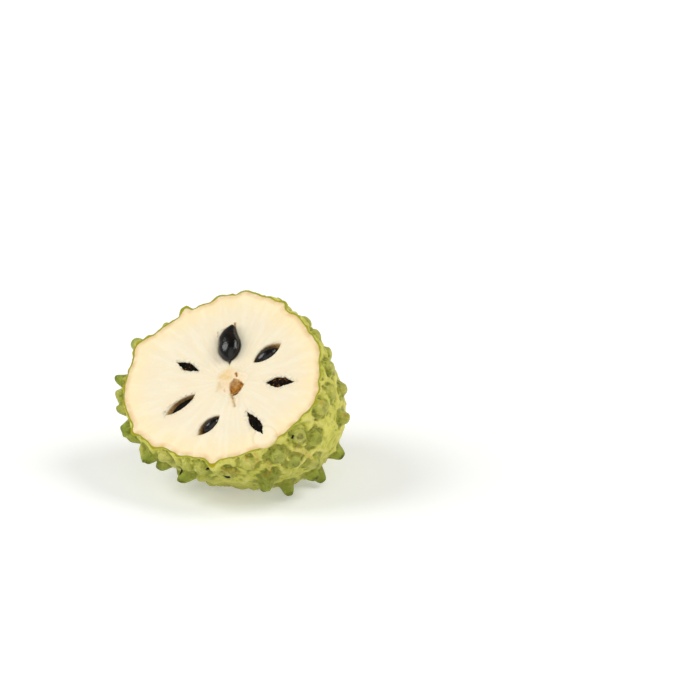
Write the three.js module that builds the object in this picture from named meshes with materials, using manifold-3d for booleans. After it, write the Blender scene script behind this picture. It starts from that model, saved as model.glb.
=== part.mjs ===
// Half a soursop lying on its rind with the cut face up. Millimetres, +Z up, the table at z = 0.
// The fruit is described in its own coordinates, where the cut face is the plane z = 0, the body
// hangs below it and the stem end is the lowest point. A group then leans the whole half over.
import * as THREE from 'three';
import { ConvexHull } from 'three/addons/math/ConvexHull.js';
import { mergeVertices } from 'three/addons/utils/BufferGeometryUtils.js';
import Module from 'manifold-3d';

const wasm = await Module();
wasm.setup();

// How the half lies.
const FACE_CENTRE = [-3.0, -8.1, 56.4];
const LEAN = 38.4; // degrees that the cut face leans away from level
const HEADING = -118.1; // degrees round +Z, the way it leans

// The body without its relief.
const RIM_RADIUS = 49.8;
const WIDEST = 1.05; // widest section over the rim
const WIDEST_DEPTH = 10;
const DEPTH = 72; // from the cut to the stem end
const TAPER = 0.36; // how far the stem end narrows
const DRIFT = [0.22, -0.06]; // sideways run of the fruit's axis for each mm of depth
const OUTLINE = [[-0.7, 1.8], [1.8, -2.2], [-0.9, -0.7], [0.3, -0.5]]; // the rim's waves, cosine and sine
const SWELL_DEPTH = 7; // the rim's swells die away over this depth
const FLAT = { angle: 22, depth: 24, height: -4, halfAngle: 24, halfDepth: 16 }; // a flatter side
const TOP_DEPTH = -9; // the body is built past the cut, then trimmed
const HEART_DEPTH = 20;

// The rind's relief. One areole is one cell of the rind, with a soft spine in its middle.
const SKIN = 1;
const GAP = 0.3; // between pieces that touch
const SPINE_SPACING = 11.8; // least distance between two spines that the spiral adds
const SPINE_HEIGHT = [4.2, 6.6];
const SPINE_WIDTH = 3.4;
const SPINE_POWER = 3.2; // higher is blunter
const FLARE = { height: 0.14, width: 6 }; // the broad foot of a spine, over its height
const SPINE_LEAN = 0.28; // how far a tip leans towards the cut, over its height
const CURL = 0.22; // random lean
const SEAM_HEIGHT = 0.9; // raised seams between areoles
const SEAM_WIDTH = 2.2;
const MOAT = 0.09; // hollow ring round a spine, over its height
const LOW_SIDE = { angle: 35, share: 0.45 }; // spines are lower towards this side
const SWELL = 0.25; // how far the pulp rises into a spine, over its height
const STEM_DIMPLE = { depth: 5, radius: 10 };
const PRESSED = 8; // spines whose root is lower than this above the table are pressed short
const CANDIDATES = 900;
const GOLDEN_ANGLE = Math.PI * (3 - Math.sqrt(5));

// Local swells of the rim: degrees round the axis, height, half width in degrees.
const RIM_SWELLS = [
  [-94.5, 4.2, 4], [-116, 1.2, 4], [-137, 2.4, 6], [-152, 0.6, 5], [-25, 1.5, 8], [12, 2.5, 9],
  [35, 1.2, 7], [62, 2, 5], [76, 2.8, 6], [90, 1.8, 5], [149, 4.2, 7], [-84, 1.1, 22],
  [-147, 1, 6], [144, 1.4, 5], [26, 0.6, 14],
];

// Spines that give the half its outline: degrees round the axis, depth below the cut, height.
const RIM_SPINES = [
  [80, -1, 3], [95, -1, 3], [117, 2.5, 4.5], [131, 7, 5], [147, 4, 6.2], [168, 4.5, 7],
  [176, 5, 5], [-177, 7, 5.5], [-165, 7, 6], [-160, 10, 5.5], [-144, 10, 6.8], [-131, 5, 3.5],
  [-143, 18, 6], [-120, 14, 7.5], [-113, 5, 3.6], [-104, 5, 3.5], [-108, 12, 4.5],
  [-90, 9, 4.5], [-76, 5, 4], [-60, 7, 5], [-45, 5, 4.5], [-26, 4.1, 5], [-15, 7, 4],
  [0, 6, 5], [13, 9, 5], [26, 7, 5],
];
const SIDE_SPINES = [
  [-72, 18, 5.5], [-77, 23, 6.5], [-72, 37, 7.5], [-56, 15, 5.5], [-40, 12.6, 6], [-5, 18.5, 6],
  [-19, 24.5, 6.5], [-31, 46, 8], [-52, 50, 8],
];
const SMALL_SPINES = [[-150, 9.5, 4.3]];

// Calm places of the rind, where the spiral's spines stay flat: degrees round the axis, depth.
const CALM = [[-13, 46], [-27, 35.4], [-34, 22.5], [-102, 27.2], [5, 36]];
const CALM_REACH = [3, 8];

// Pockets and seeds: place and direction on the cut face, the length and width of the pocket's mouth,
// the length, width and thickness of the seed, how deep its middle lies, and its shift along the pocket.
const SEEDS = [
  { at: [2, 20.3], turn: 88, mouth: [24, 12.2], seed: [22, 10.8, 7.4], depth: -0.6 },
  { at: [22.9, 11.7], turn: 33, mouth: [17.5, 7.6], seed: [14.5, 6.8, 6], depth: 2.4, shift: -1.2 },
  { at: [30.2, -7.7], turn: -9, mouth: [15.4, 5.8], seed: [14, 4.8, 6.6], depth: 1, cut: true },
  { at: [17.9, -29.6], turn: -59, mouth: [18, 4.4], seed: [16, 3.6, 6.6], depth: 1, cut: true },
  { at: [-7, -26.2], turn: -141, mouth: [15, 7.3], seed: [12, 6.4, 6], depth: 2.4, shift: -1 },
  { at: [-22.9, -11.1], turn: -149, mouth: [18.6, 6], seed: [13.5, 4.6, 4.6], depth: 4.6, shift: -1.8 },
  { at: [-19.8, 11.5], turn: 148, mouth: [15, 4.2], seed: [13, 3.4, 6.2], depth: 1, cut: true },
];
const SEED_SINK = 0.25; // a seed that the knife met stays this far under the cut
const POCKET_DEPTH = 7.5;
const CORE = {
  at: [4.6, -2.6],
  radius: 7.4,
  depth: 9,
  root: [[0, -1], [0.5, -0.9], [0.85, -0.5], [1, 0]], // profile: across over radius, up over depth
  crown: [[0.9, 0.06], [0.45, 0.02], [0, -0.07]],
};
const CORE_SIDES = 14;
const LOBE = { at: [23.4, -38.9], size: [6.6, 6, 0.7], turn: -59, rise: 0.15 };
const STALK = { radius: 3, length: 7.6, sides: 10 };

const SEED_SIDES = 9;
const SEED_STATIONS = 8;

const rad = THREE.MathUtils.degToRad;
const clamp = THREE.MathUtils.clamp;
const smooth = THREE.MathUtils.smoothstep;

// The fruit's x, y and z as they lie. Its z is square to the cut face, and its x stays over the table's X.
function lyingAxes() {
  const lean = rad(LEAN);
  const heading = rad(HEADING);
  const level = Math.sin(lean);
  const normal = new THREE.Vector3(level * Math.cos(heading), level * Math.sin(heading), Math.cos(lean));
  const right = new THREE.Vector3(1, 0, 0).addScaledVector(normal, -normal.x).normalize();
  return [right, new THREE.Vector3().crossVectors(normal, right), normal];
}

const AXES = lyingAxes();
const UP = new THREE.Vector3(AXES[0].z, AXES[1].z, AXES[2].z);
const heightAboveTable = (point) => FACE_CENTRE[2] + point.dot(UP);

// The same draw for the same two whole numbers, from 0 to 1.
function draw(first, second) {
  const wave = Math.sin(first * 127.1 + second * 311.7) * 43758.5453;
  return wave - Math.floor(wave);
}

// Latitude is 0 at the widest section, 90 degrees at the stem end and below 0 towards the cut.
const ABOVE = WIDEST_DEPTH * Math.sqrt(WIDEST / (2 * (WIDEST - 1)));
const BELOW = DEPTH - WIDEST_DEPTH;

function latitudeAt(depth) {
  const run = depth - WIDEST_DEPTH;
  return Math.asin(clamp(run / (run > 0 ? BELOW : ABOVE), -1, 1));
}

function rimWave(angle) {
  let wave = 0;
  OUTLINE.forEach(([cosine, sine], k) => {
    wave += cosine * Math.cos((k + 1) * angle) + sine * Math.sin((k + 1) * angle);
  });
  return wave;
}

function bulge(angle, degrees, height, halfWidth) {
  const away = angle - rad(degrees);
  const turned = THREE.MathUtils.radToDeg(Math.atan2(Math.sin(away), Math.cos(away)));
  return height * Math.exp(-((turned / halfWidth) ** 2));
}

// How far the side stands off a plain round at an angle and a depth.
function sideShape(angle, depth) {
  const swells = RIM_SWELLS.reduce((sum, each) => sum + bulge(angle, ...each), 0);
  const flat = bulge(angle, FLAT.angle, FLAT.height, FLAT.halfAngle);
  const low = (depth - FLAT.depth) / FLAT.halfDepth;
  return swells * Math.exp(-((depth / SWELL_DEPTH) ** 2)) + flat * Math.exp(-(low ** 2));
}

function body({ angle, latitude }) {
  const rise = Math.sin(latitude);
  const depth = WIDEST_DEPTH + rise * (rise > 0 ? BELOW : ABOVE);
  const fade = Math.sqrt(clamp(1 - depth / DEPTH, 0, 1));
  const taper = 1 - TAPER * Math.max(rise, 0) ** 2;
  const across = RIM_RADIUS + fade * rimWave(angle) + sideShape(angle, depth);
  const radius = WIDEST * Math.cos(latitude) * taper * across;
  return new THREE.Vector3(
    radius * Math.cos(angle) + DRIFT[0] * depth,
    radius * Math.sin(angle) + DRIFT[1] * depth,
    -depth,
  );
}

function bodyNormal({ angle, latitude }) {
  const step = 1e-4;
  if (Math.cos(latitude) < 2 * step) return new THREE.Vector3(0, 0, -1);
  const across = body({ angle: angle + step, latitude }).sub(body({ angle: angle - step, latitude }));
  const along = body({ angle, latitude: latitude + step }).sub(body({ angle, latitude: latitude - step }));
  return across.cross(along).negate().normalize();
}

// The place on the body nearest to a point that is close to it.
function settle(point) {
  const depth = -point.z;
  const x = point.x - DRIFT[0] * depth;
  const y = point.y - DRIFT[1] * depth;
  const angle = Math.atan2(y, x);
  const run = (depth - WIDEST_DEPTH) / (depth > WIDEST_DEPTH ? BELOW : ABOVE);
  let latitude = Math.asin(clamp(run, -1, 1));
  for (let pass = 0; pass < 4; pass++) {
    const taper = 1 - TAPER * Math.max(Math.sin(latitude), 0) ** 2;
    const across = Math.hypot(x, y) / (WIDEST * taper * RIM_RADIUS);
    latitude = Math.atan2(run, across);
  }
  return { angle, latitude };
}

function placeOnBody(degrees, depth) {
  return { angle: rad(degrees), latitude: latitudeAt(depth) };
}

// 0 on a calm place, 1 away from all of them.
function restless(point) {
  const far = CALM.map((spot) => body(placeOnBody(...spot)).distanceTo(point));
  return smooth(Math.min(...far), ...CALM_REACH);
}

function makeSpine(place, tall, index) {
  const point = body(place);
  const normal = bodyNormal(place);
  const toCut = new THREE.Vector3(0, 0, 1).addScaledVector(normal, -normal.z);
  const across = new THREE.Vector3().crossVectors(normal, toCut);
  const lean = toCut.multiplyScalar(SPINE_LEAN + CURL * (draw(index, 1) - 0.5));
  lean.addScaledVector(across, CURL * 2 * (draw(index, 2) - 0.5));
  const free = smooth(heightAboveTable(point), 0, PRESSED);
  const side = 1 - LOW_SIDE.share * Math.max(0, Math.cos(place.angle - rad(LOW_SIDE.angle)));
  const stemEnd = 1 - 0.45 * smooth(-point.z, DEPTH - 12, DEPTH);
  const wide = SPINE_WIDTH * (0.9 + 0.25 * draw(index, 3));
  return { point, normal, lean, tall: tall * free * side * stemEnd, wide };
}

// The listed spines come first. A spiral from the stem end to past the cut then fills what is left,
// and the small ones are set between the others.
function makeSpines() {
  const spines = [];
  for (const [degrees, depth, tall] of [...RIM_SPINES, ...SIDE_SPINES]) {
    spines.push(makeSpine(placeOnBody(degrees, depth), tall, spines.length));
  }
  const lowest = Math.sin(latitudeAt(TOP_DEPTH + 2));
  for (let k = 0; k < CANDIDATES; k++) {
    const latitude = Math.asin(1 - (1 - lowest) * (k + 0.5) / CANDIDATES);
    const place = { angle: (k * GOLDEN_ANGLE) % (2 * Math.PI), latitude };
    const point = body(place);
    if (spines.some((spine) => spine.point.distanceTo(point) < SPINE_SPACING)) continue;
    const tall = THREE.MathUtils.lerp(...SPINE_HEIGHT, draw(spines.length, 0));
    spines.push(makeSpine(place, tall * restless(point), spines.length));
  }
  for (const [degrees, depth, tall] of SMALL_SPINES) {
    spines.push(makeSpine(placeOnBody(degrees, depth), tall, spines.length));
  }
  return spines;
}

const SPINES = makeSpines();
const STEM_END = body({ angle: 0, latitude: Math.PI / 2 });

function dimple(point) {
  const { depth, radius } = STEM_DIMPLE;
  return depth * Math.exp(-((point.distanceTo(STEM_END) / radius) ** 2));
}

// How far the rind stands off the smooth body at a point of it, as a vector.
function relief(point, normal) {
  const shift = new THREE.Vector3();
  let height = 0;
  let nearest = Infinity;
  let second = Infinity;
  let tall = 0;
  for (const spine of SPINES) {
    const far = spine.point.distanceTo(point);
    if (far < nearest) [nearest, second, tall] = [far, nearest, spine.tall];
    else if (far < second) second = far;
    const share = Math.exp(-((far / spine.wide) ** SPINE_POWER));
    const foot = Math.exp(-((far / FLARE.width) ** 2));
    height += spine.tall * (share * (1 - FLARE.height) + foot * FLARE.height);
    shift.addScaledVector(spine.lean, spine.tall * share * share);
  }
  height += SEAM_HEIGHT * Math.exp(-(((second - nearest) / SEAM_WIDTH) ** 2));
  height -= MOAT * tall * Math.exp(-(((nearest - 4.6) / 1.6) ** 2));
  height -= dimple(point);
  return shift.addScaledVector(normal, height);
}

// The pulp swells a little into each spine's foot.
function swell(point) {
  const feet = SPINES.map((spine) => {
    const far = spine.point.distanceTo(point) / FLARE.width;
    return spine.tall * Math.exp(-(far ** 2));
  });
  return SWELL * Math.max(...feet) - dimple(point);
}

// What would go under the table is pressed flat on it.
function press(point, level) {
  const under = level - heightAboveTable(point);
  if (under > 0) point.addScaledVector(UP, under);
  return point;
}

// Sample places on the body, none closer to another than the gap.
class Samples {
  constructor(gap) {
    this.gap = gap;
    this.places = [];
    this.points = [];
  }

  add(near, gap = this.gap) {
    const place = settle(near);
    const point = body(place);
    if (-point.z < TOP_DEPTH + 1.2) return;
    if (this.points.some((other) => other.distanceTo(point) < gap)) return;
    this.places.push(place);
    this.points.push(point);
  }
}

const TOP_RING = 44;

function topRing() {
  const latitude = latitudeAt(TOP_DEPTH);
  return Array.from({ length: TOP_RING }, (_, k) => ({ angle: (k * 2 * Math.PI) / TOP_RING, latitude }));
}

const HEART = new THREE.Vector3(DRIFT[0] * HEART_DEPTH, DRIFT[1] * HEART_DEPTH, -HEART_DEPTH);
const directionTo = (point) => point.clone().sub(HEART).normalize();

// Triangles over points on a sphere: the faces of their hull.
function triangulate(directions) {
  const order = new Map(directions.map((direction, index) => [direction, index]));
  const hull = new ConvexHull().setFromPoints(directions);
  const index = [];
  for (const face of hull.faces) {
    let edge = face.edge;
    do {
      index.push(order.get(edge.head().point));
      edge = edge.next;
    } while (edge !== face.edge);
  }
  return index;
}

// A closed skin through the sample places, moved by the given function, with its lid above the cut.
function skinOver(places, move) {
  const all = [...places, ...topRing()];
  const directions = all.map((place) => directionTo(body(place)));
  directions.push(new THREE.Vector3(0, 0, 1));
  const corners = all.map((place) => move(body(place), bodyNormal(place)));
  corners.push(new THREE.Vector3(0, 0, -TOP_DEPTH + 4));
  const geometry = new THREE.BufferGeometry().setFromPoints(corners);
  geometry.setIndex(triangulate(directions));
  return geometry;
}

function cellCorners() {
  const index = triangulate(SPINES.map((spine) => directionTo(spine.point)));
  const corners = [];
  const middles = [];
  for (let k = 0; k < index.length; k += 3) {
    const [a, b, c] = index.slice(k, k + 3).map((i) => SPINES[i].point);
    corners.push(a.clone().add(b).add(c).divideScalar(3));
    middles.push(a.clone().add(b).divideScalar(2), b.clone().add(c).divideScalar(2));
    middles.push(c.clone().add(a).divideScalar(2));
  }
  return { corners, middles };
}

const RINGS = [{ radius: 1.7, points: 5 }, { radius: 3.7, points: 6 }];

function outerSamples() {
  const samples = new Samples(1);
  for (const spine of SPINES) samples.add(spine.point);
  const { corners, middles } = cellCorners();
  SPINES.forEach((spine, n) => {
    const across = new THREE.Vector3(1, 0, 0).cross(spine.normal).normalize();
    const along = new THREE.Vector3().crossVectors(spine.normal, across);
    RINGS.forEach(({ radius, points }, ring) => {
      for (let k = 0; k < points; k++) {
        const turn = (k / points + ring / (2 * points) + draw(n, 5)) * 2 * Math.PI;
        const near = spine.point.clone().addScaledVector(across, radius * Math.cos(turn));
        samples.add(near.addScaledVector(along, radius * Math.sin(turn)));
      }
    });
  });
  for (const corner of corners) samples.add(corner, 1.8);
  for (const middle of middles) samples.add(middle, 1.8);
  return samples.places;
}

function innerSamples() {
  const samples = new Samples(5);
  for (const spine of SPINES) samples.add(spine.point);
  for (const corner of cellCorners().corners) samples.add(corner);
  return samples.places;
}

function asSolid(geometry) {
  const bare = geometry.clone();
  bare.deleteAttribute('normal');
  bare.deleteAttribute('uv');
  const merged = mergeVertices(bare, 1e-4);
  const mesh = new wasm.Mesh({
    numProp: 3,
    vertProperties: new Float32Array(merged.attributes.position.array),
    triVerts: new Uint32Array(merged.index.array),
  });
  return new wasm.Manifold(mesh);
}

function asGeometry(solid) {
  const mesh = solid.getMesh();
  const geometry = new THREE.BufferGeometry();
  geometry.setAttribute('position', new THREE.BufferAttribute(new Float32Array(mesh.vertProperties), 3));
  geometry.setIndex(new THREE.BufferAttribute(new Uint32Array(mesh.triVerts), 1));
  geometry.computeVertexNormals();
  return geometry;
}

// Everything above a level of the fruit's own z.
function spaceAbove(level) {
  const size = 400;
  return asSolid(new THREE.BoxGeometry(size, size, size).translate(0, 0, level + size / 2));
}

const OUTER_PLACES = outerSamples();
const INNER_PLACES = innerSamples();

// The rind's outside, or a skin that stands off it by the given lift.
function outerSkin(lift) {
  const move = (point, normal) => {
    const shift = relief(point, normal).addScaledVector(normal, lift);
    return press(point.add(shift), -lift);
  };
  return asSolid(skinOver(OUTER_PLACES, move));
}

// The smoother surface below the rind, this far under the body.
function innerSkin(inset) {
  const move = (point, normal) => press(point.addScaledVector(normal, swell(point) - inset), inset);
  return asSolid(skinOver(INNER_PLACES, move));
}

function makeRind() {
  return outerSkin(0).subtract(spaceAbove(0)).subtract(innerSkin(SKIN));
}

// A pointed oval along x, with the given length, width and thickness.
function almond([length, width, thick]) {
  const outline = [];
  for (let k = 0; k <= SEED_STATIONS; k++) {
    const along = -Math.cos((k / SEED_STATIONS) * Math.PI);
    outline.push(new THREE.Vector2((1 - Math.abs(along) ** 1.9) ** 0.85 / 2, along / 2));
  }
  outline[0].x = 0;
  outline[SEED_STATIONS].x = 0;
  return new THREE.LatheGeometry(outline, SEED_SIDES).scale(width, length, thick).rotateZ(-Math.PI / 2);
}

const placeOnFace = (geometry, [x, y], degrees, z) => geometry.rotateZ(rad(degrees)).translate(x, y, z);

function wholeSeed({ at, turn, seed, depth, shift = 0 }, grow = 0) {
  const [length, width, thick] = seed;
  const geometry = almond([length + 3 * grow, width + grow, thick + grow]).translate(shift, 0, 0);
  return asSolid(placeOnFace(geometry, at, turn, -depth));
}

// A pocket is the slit that opens at the cut, with the room that the seed fills below it.
function makePocket(seed) {
  const slit = asSolid(placeOnFace(almond([...seed.mouth, 2 * POCKET_DEPTH]), seed.at, seed.turn, 0));
  return slit.add(wholeSeed(seed, 3 * GAP));
}

function makeSeed(seed) {
  const solid = wholeSeed(seed);
  return seed.cut ? solid.subtract(spaceAbove(-SEED_SINK)) : solid;
}

// The core's plug, or its socket in the flesh when it is grown and open at the top.
function makeCore(grow = 0) {
  const { radius, depth, at, root, crown } = CORE;
  const top = grow ? [[1, 0.2], [0, 0.2]] : crown;
  const outline = [...root, ...top].map(([across, up]) => new THREE.Vector2(across * radius, up * depth));
  const geometry = new THREE.LatheGeometry(outline, CORE_SIDES).rotateX(Math.PI / 2);
  const position = geometry.attributes.position;
  for (let k = 0; k < position.count; k++) {
    const angle = Math.atan2(position.getY(k), position.getX(k));
    const wave = 1 + 0.13 * Math.sin(3 * angle + 1) + 0.07 * Math.sin(5 * angle);
    position.setXY(k, position.getX(k) * wave, position.getY(k) * wave);
  }
  const wider = 1 + (1.6 * grow) / radius;
  geometry.scale(wider, wider, 1 + (1.6 * grow) / depth);
  return asSolid(geometry.translate(at[0], at[1], 0));
}

// Soft pulp that bulges over the rim.
function makeLobe() {
  const { at, size, turn, rise } = LOBE;
  const ball = new THREE.SphereGeometry(1, 16, 10).scale(...size);
  const lobe = asSolid(placeOnFace(ball, at, turn, rise));
  const collar = outerSkin(5).subtract(spaceAbove(GAP)).subtract(innerSkin(SKIN + GAP));
  return lobe.subtract(collar);
}

function makeFlesh() {
  let flesh = innerSkin(SKIN + GAP).subtract(spaceAbove(0)).add(makeLobe());
  for (const seed of SEEDS) flesh = flesh.subtract(makePocket(seed));
  return flesh.subtract(makeCore(GAP));
}

function makeStalk() {
  const { radius, length, sides } = STALK;
  const outline = [[0, 0], [1.15, 0], [1, 0.3], [0.95, 0.7], [1.1, 0.92], [0.95, 1], [0, 1]];
  const points = outline.map(([across, along]) => new THREE.Vector2(across * radius, -along * length));
  const stub = new THREE.LatheGeometry(points.reverse(), sides).rotateX(Math.PI / 2);
  stub.translate(STEM_END.x, STEM_END.y, STEM_END.z + STEM_DIMPLE.depth + 4);
  return asSolid(stub).subtract(outerSkin(GAP));
}

const finish = (color, roughness) => new THREE.MeshStandardMaterial({ color, roughness, metalness: 0 });

function part(name, solid, material) {
  const mesh = new THREE.Mesh(asGeometry(solid), material);
  mesh.name = name;
  return mesh;
}

const group = new THREE.Group();
group.setRotationFromMatrix(new THREE.Matrix4().makeBasis(...AXES));
group.position.set(...FACE_CENTRE);
group.add(part('rind', makeRind(), finish(0x9fae52, 0.6)));
group.add(part('flesh', makeFlesh(), finish(0xfbe9c8, 0.55)));
group.add(part('core', makeCore(), finish(0xd9b98a, 0.8)));
SEEDS.forEach((seed, k) => group.add(part(`seed_${k + 1}`, makeSeed(seed), finish(0x14110f, 0.25))));
group.add(part('stalk', makeStalk(), finish(0x6b4a2b, 0.85)));

export default group;
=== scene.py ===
"""Half a soursop on its rind with the cut face up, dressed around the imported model.

The fruit is worked out in its own coordinates, in millimetres: the cut face is the plane z = 0, the body
hangs below it and the stem end is the lowest point. lay_down() leans the half over and gives metres.
"""

import functools
import math

import bmesh
import bpy
import numpy as np
from bpy.props import FloatProperty, FloatVectorProperty, PointerProperty
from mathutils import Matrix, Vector, noise
from mathutils.geometry import delaunay_2d_cdt


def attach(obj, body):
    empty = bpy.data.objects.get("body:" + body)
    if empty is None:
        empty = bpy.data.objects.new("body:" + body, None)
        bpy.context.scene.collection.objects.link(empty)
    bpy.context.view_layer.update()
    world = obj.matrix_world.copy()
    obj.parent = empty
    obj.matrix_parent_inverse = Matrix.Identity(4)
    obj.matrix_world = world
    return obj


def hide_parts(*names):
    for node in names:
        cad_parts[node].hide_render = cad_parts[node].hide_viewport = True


bl_info = {
    "name": "Soursop Half",
    "version": (1, 0, 0),
    "blender": (4, 5, 0),
    "location": "View3D > Sidebar > Soursop",
    "description": "Builds the rind, flesh, core, seeds and stalk of a cut soursop around its packed model",
    "category": "Object",
}

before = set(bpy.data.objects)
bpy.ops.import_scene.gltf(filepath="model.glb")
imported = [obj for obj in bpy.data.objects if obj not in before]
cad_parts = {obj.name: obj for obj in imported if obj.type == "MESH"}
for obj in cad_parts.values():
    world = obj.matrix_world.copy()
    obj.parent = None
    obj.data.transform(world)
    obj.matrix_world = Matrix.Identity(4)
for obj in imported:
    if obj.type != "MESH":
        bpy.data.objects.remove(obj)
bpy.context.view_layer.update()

MM = 0.001

# How the half lies.
FACE_CENTRE = np.array([-3.0, -8.1, 56.4])
LEAN = math.radians(38.4)  # how far the cut face is from level
HEADING = math.radians(-118.1)  # the side that it looks to

# The body without its relief.
RIM_RADIUS = 49.8
WIDEST = 1.05  # widest section over the rim
WIDEST_DEPTH = 10
DEPTH = 72  # from the cut to the stem end
TAPER = 0.36
DRIFT = (0.22, -0.06)  # sideways run of the axis for each mm of depth
OUTLINE = ((-0.7, 1.8), (1.8, -2.2), (-0.9, -0.7), (0.3, -0.5))  # the rim's waves, cosine and sine
RIM_SWELLS = (  # local swells of the rim: degrees round the axis, height, half width in degrees
    (-94.5, 4.2, 4), (-116, 1.2, 4), (-137, 2.4, 6), (-152, 0.6, 5), (-25, 1.5, 8), (12, 2.5, 9),
    (35, 1.2, 7), (62, 2, 5), (76, 2.8, 6), (90, 1.8, 5), (149, 4.2, 7), (-84, 1.1, 22),
    (-147, 1, 6), (144, 1.4, 5), (26, 0.6, 14),
)
SWELL_DEPTH = 7
FLAT = (22, 24, -4.0, 24, 16)  # a flatter side: degrees, depth, height, half width in degrees and in depth
TOP_DEPTH = -9  # the body goes on this far over the cut
ABOVE = WIDEST_DEPTH * math.sqrt(WIDEST / (2 * (WIDEST - 1)))
BELOW = DEPTH - WIDEST_DEPTH

# The rind's relief.
SPINE_SPACING = 11.8
SPINE_HEIGHT = (4.2, 6.6)
SPINE_WIDTH = 3.4
WIDTH_SPREAD = (0.9, 0.25)  # the least share of that width, and what chance adds to it
SPINE_POWER = 3.2  # how steep its sides are
TATTER = (0.10, 2.4)  # how ragged its outline is, and the size of a tatter
FLARE = (0.14, 6)  # its broad foot: height over the spine's, and width
SPINE_LEAN = 0.28
CURL = 0.22
STEM_END_CALM = (0.45, 12)  # how much lower spines are at the stem end, and over what depth
SEAM_HEIGHT = 0.9
SEAM_WIDTH = 2.2
MOAT = (0.09, 4.6, 1.6)  # the groove round a spine: depth over the spine's height, radius, half width
WANDER = (1.5, 7)  # how far seams stray, and the size of a bend
FOLD = (0.35, 8)  # height and size of the loose folds between spines
LUMP = (0.4, 9)  # height and size of the broader lumps
LOW_SIDE = (math.radians(35), 0.45)  # where spines are lower, and by how much
SWELL = 0.25  # how much of a spine's foot shows on the skin's inside
STEM_DIMPLE = (5, 10)  # depth and radius
PRESSED = 8  # spines fade out within this height of the table
CANDIDATES = 900  # places that the spiral of spines tries
GOLDEN_ANGLE = math.pi * (3 - math.sqrt(5))

# Spines that give the half its outline: degrees round the axis, depth below the cut, height.
RIM_SPINES = (
    (80, -1, 3), (95, -1, 3), (117, 2.5, 4.5), (131, 7, 5), (147, 4, 6.2), (168, 4.5, 7),
    (176, 5, 5), (-177, 7, 5.5), (-165, 7, 6), (-160, 10, 5.5), (-144, 10, 6.8), (-131, 5, 3.5),
    (-143, 18, 6), (-120, 14, 7.5), (-113, 5, 3.6), (-104, 5, 3.5), (-108, 12, 4.5),
    (-90, 9, 4.5), (-76, 5, 4), (-60, 7, 5), (-45, 5, 4.5), (-26, 4.1, 5), (-15, 7, 4),
    (0, 6, 5), (13, 9, 5), (26, 7, 5),
)
SIDE_SPINES = (
    (-72, 18, 5.5), (-77, 23, 6.5), (-72, 37, 7.5), (-56, 15, 5.5), (-40, 12.6, 6), (-5, 18.5, 6),
    (-19, 24.5, 6.5), (-31, 46, 8), (-52, 50, 8),
)
SMALL_SPINES = ((-150, 9.5, 4.3),)

# Calm places of the rind, where the spiral's spines stay flat: degrees round the axis, depth.
CALM = ((-13, 46), (-27, 35.4), (-34, 22.5), (-102, 27.2), (5, 36))
CALM_REACH = (3, 8)  # flat within the first distance, and full height beyond the second

# Marks on the rind. Each runs through places given as degrees round the axis and depth.
HOLES = (  # insect holes, with their radius
    (((-124.5, 12), (-121, 10.6)), 0.9), (((-100, 5.3), (-95.5, 3.4)), 0.9),
    (((-92.5, 8.5), (-90.5, 8.5)), 0.8), (((-47, 3), (-48.2, 3.5)), 0.5),
    (((-103, 14), (-100, 13.5)), 0.8),
)
HOLE_DEPTH = 1.3
SCAR = (((-105, 26.5), (-109, 36)), 1.8)
SCAR_DEPTH = 0.3
RIDGES = (  # raised folds, with their height and how brown they are
    (((-69, 1), (-69.8, 4.5), (-75, 7.5)), 0.9, 0.8), (((-66.8, 8.5), (-69, 14), (-73.5, 15)), 1.0, 0.8),
    (((-51, 10), (-48.8, 15.5), (-48, 23)), 0.6, 0.6), (((-91.5, 5), (-86, 6.5), (-84.8, 11)), 0.5, 0.8),
    (((-55.5, 6.5), (-57.7, 12), (-61.5, 21), (-66.8, 28.5)), 0.7, 0.1),
    (((-48.8, 2.5), (-51.8, 8)), 0.5, 0),
)
RIDGE_WIDTH = 0.8
SPECKS = (((-24.8, 2),), ((-48.8, 7.5),), ((-74.2, 2),), ((-18.8, 22),))  # rusty specks
SPECK_WIDTH = 1.0

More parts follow.
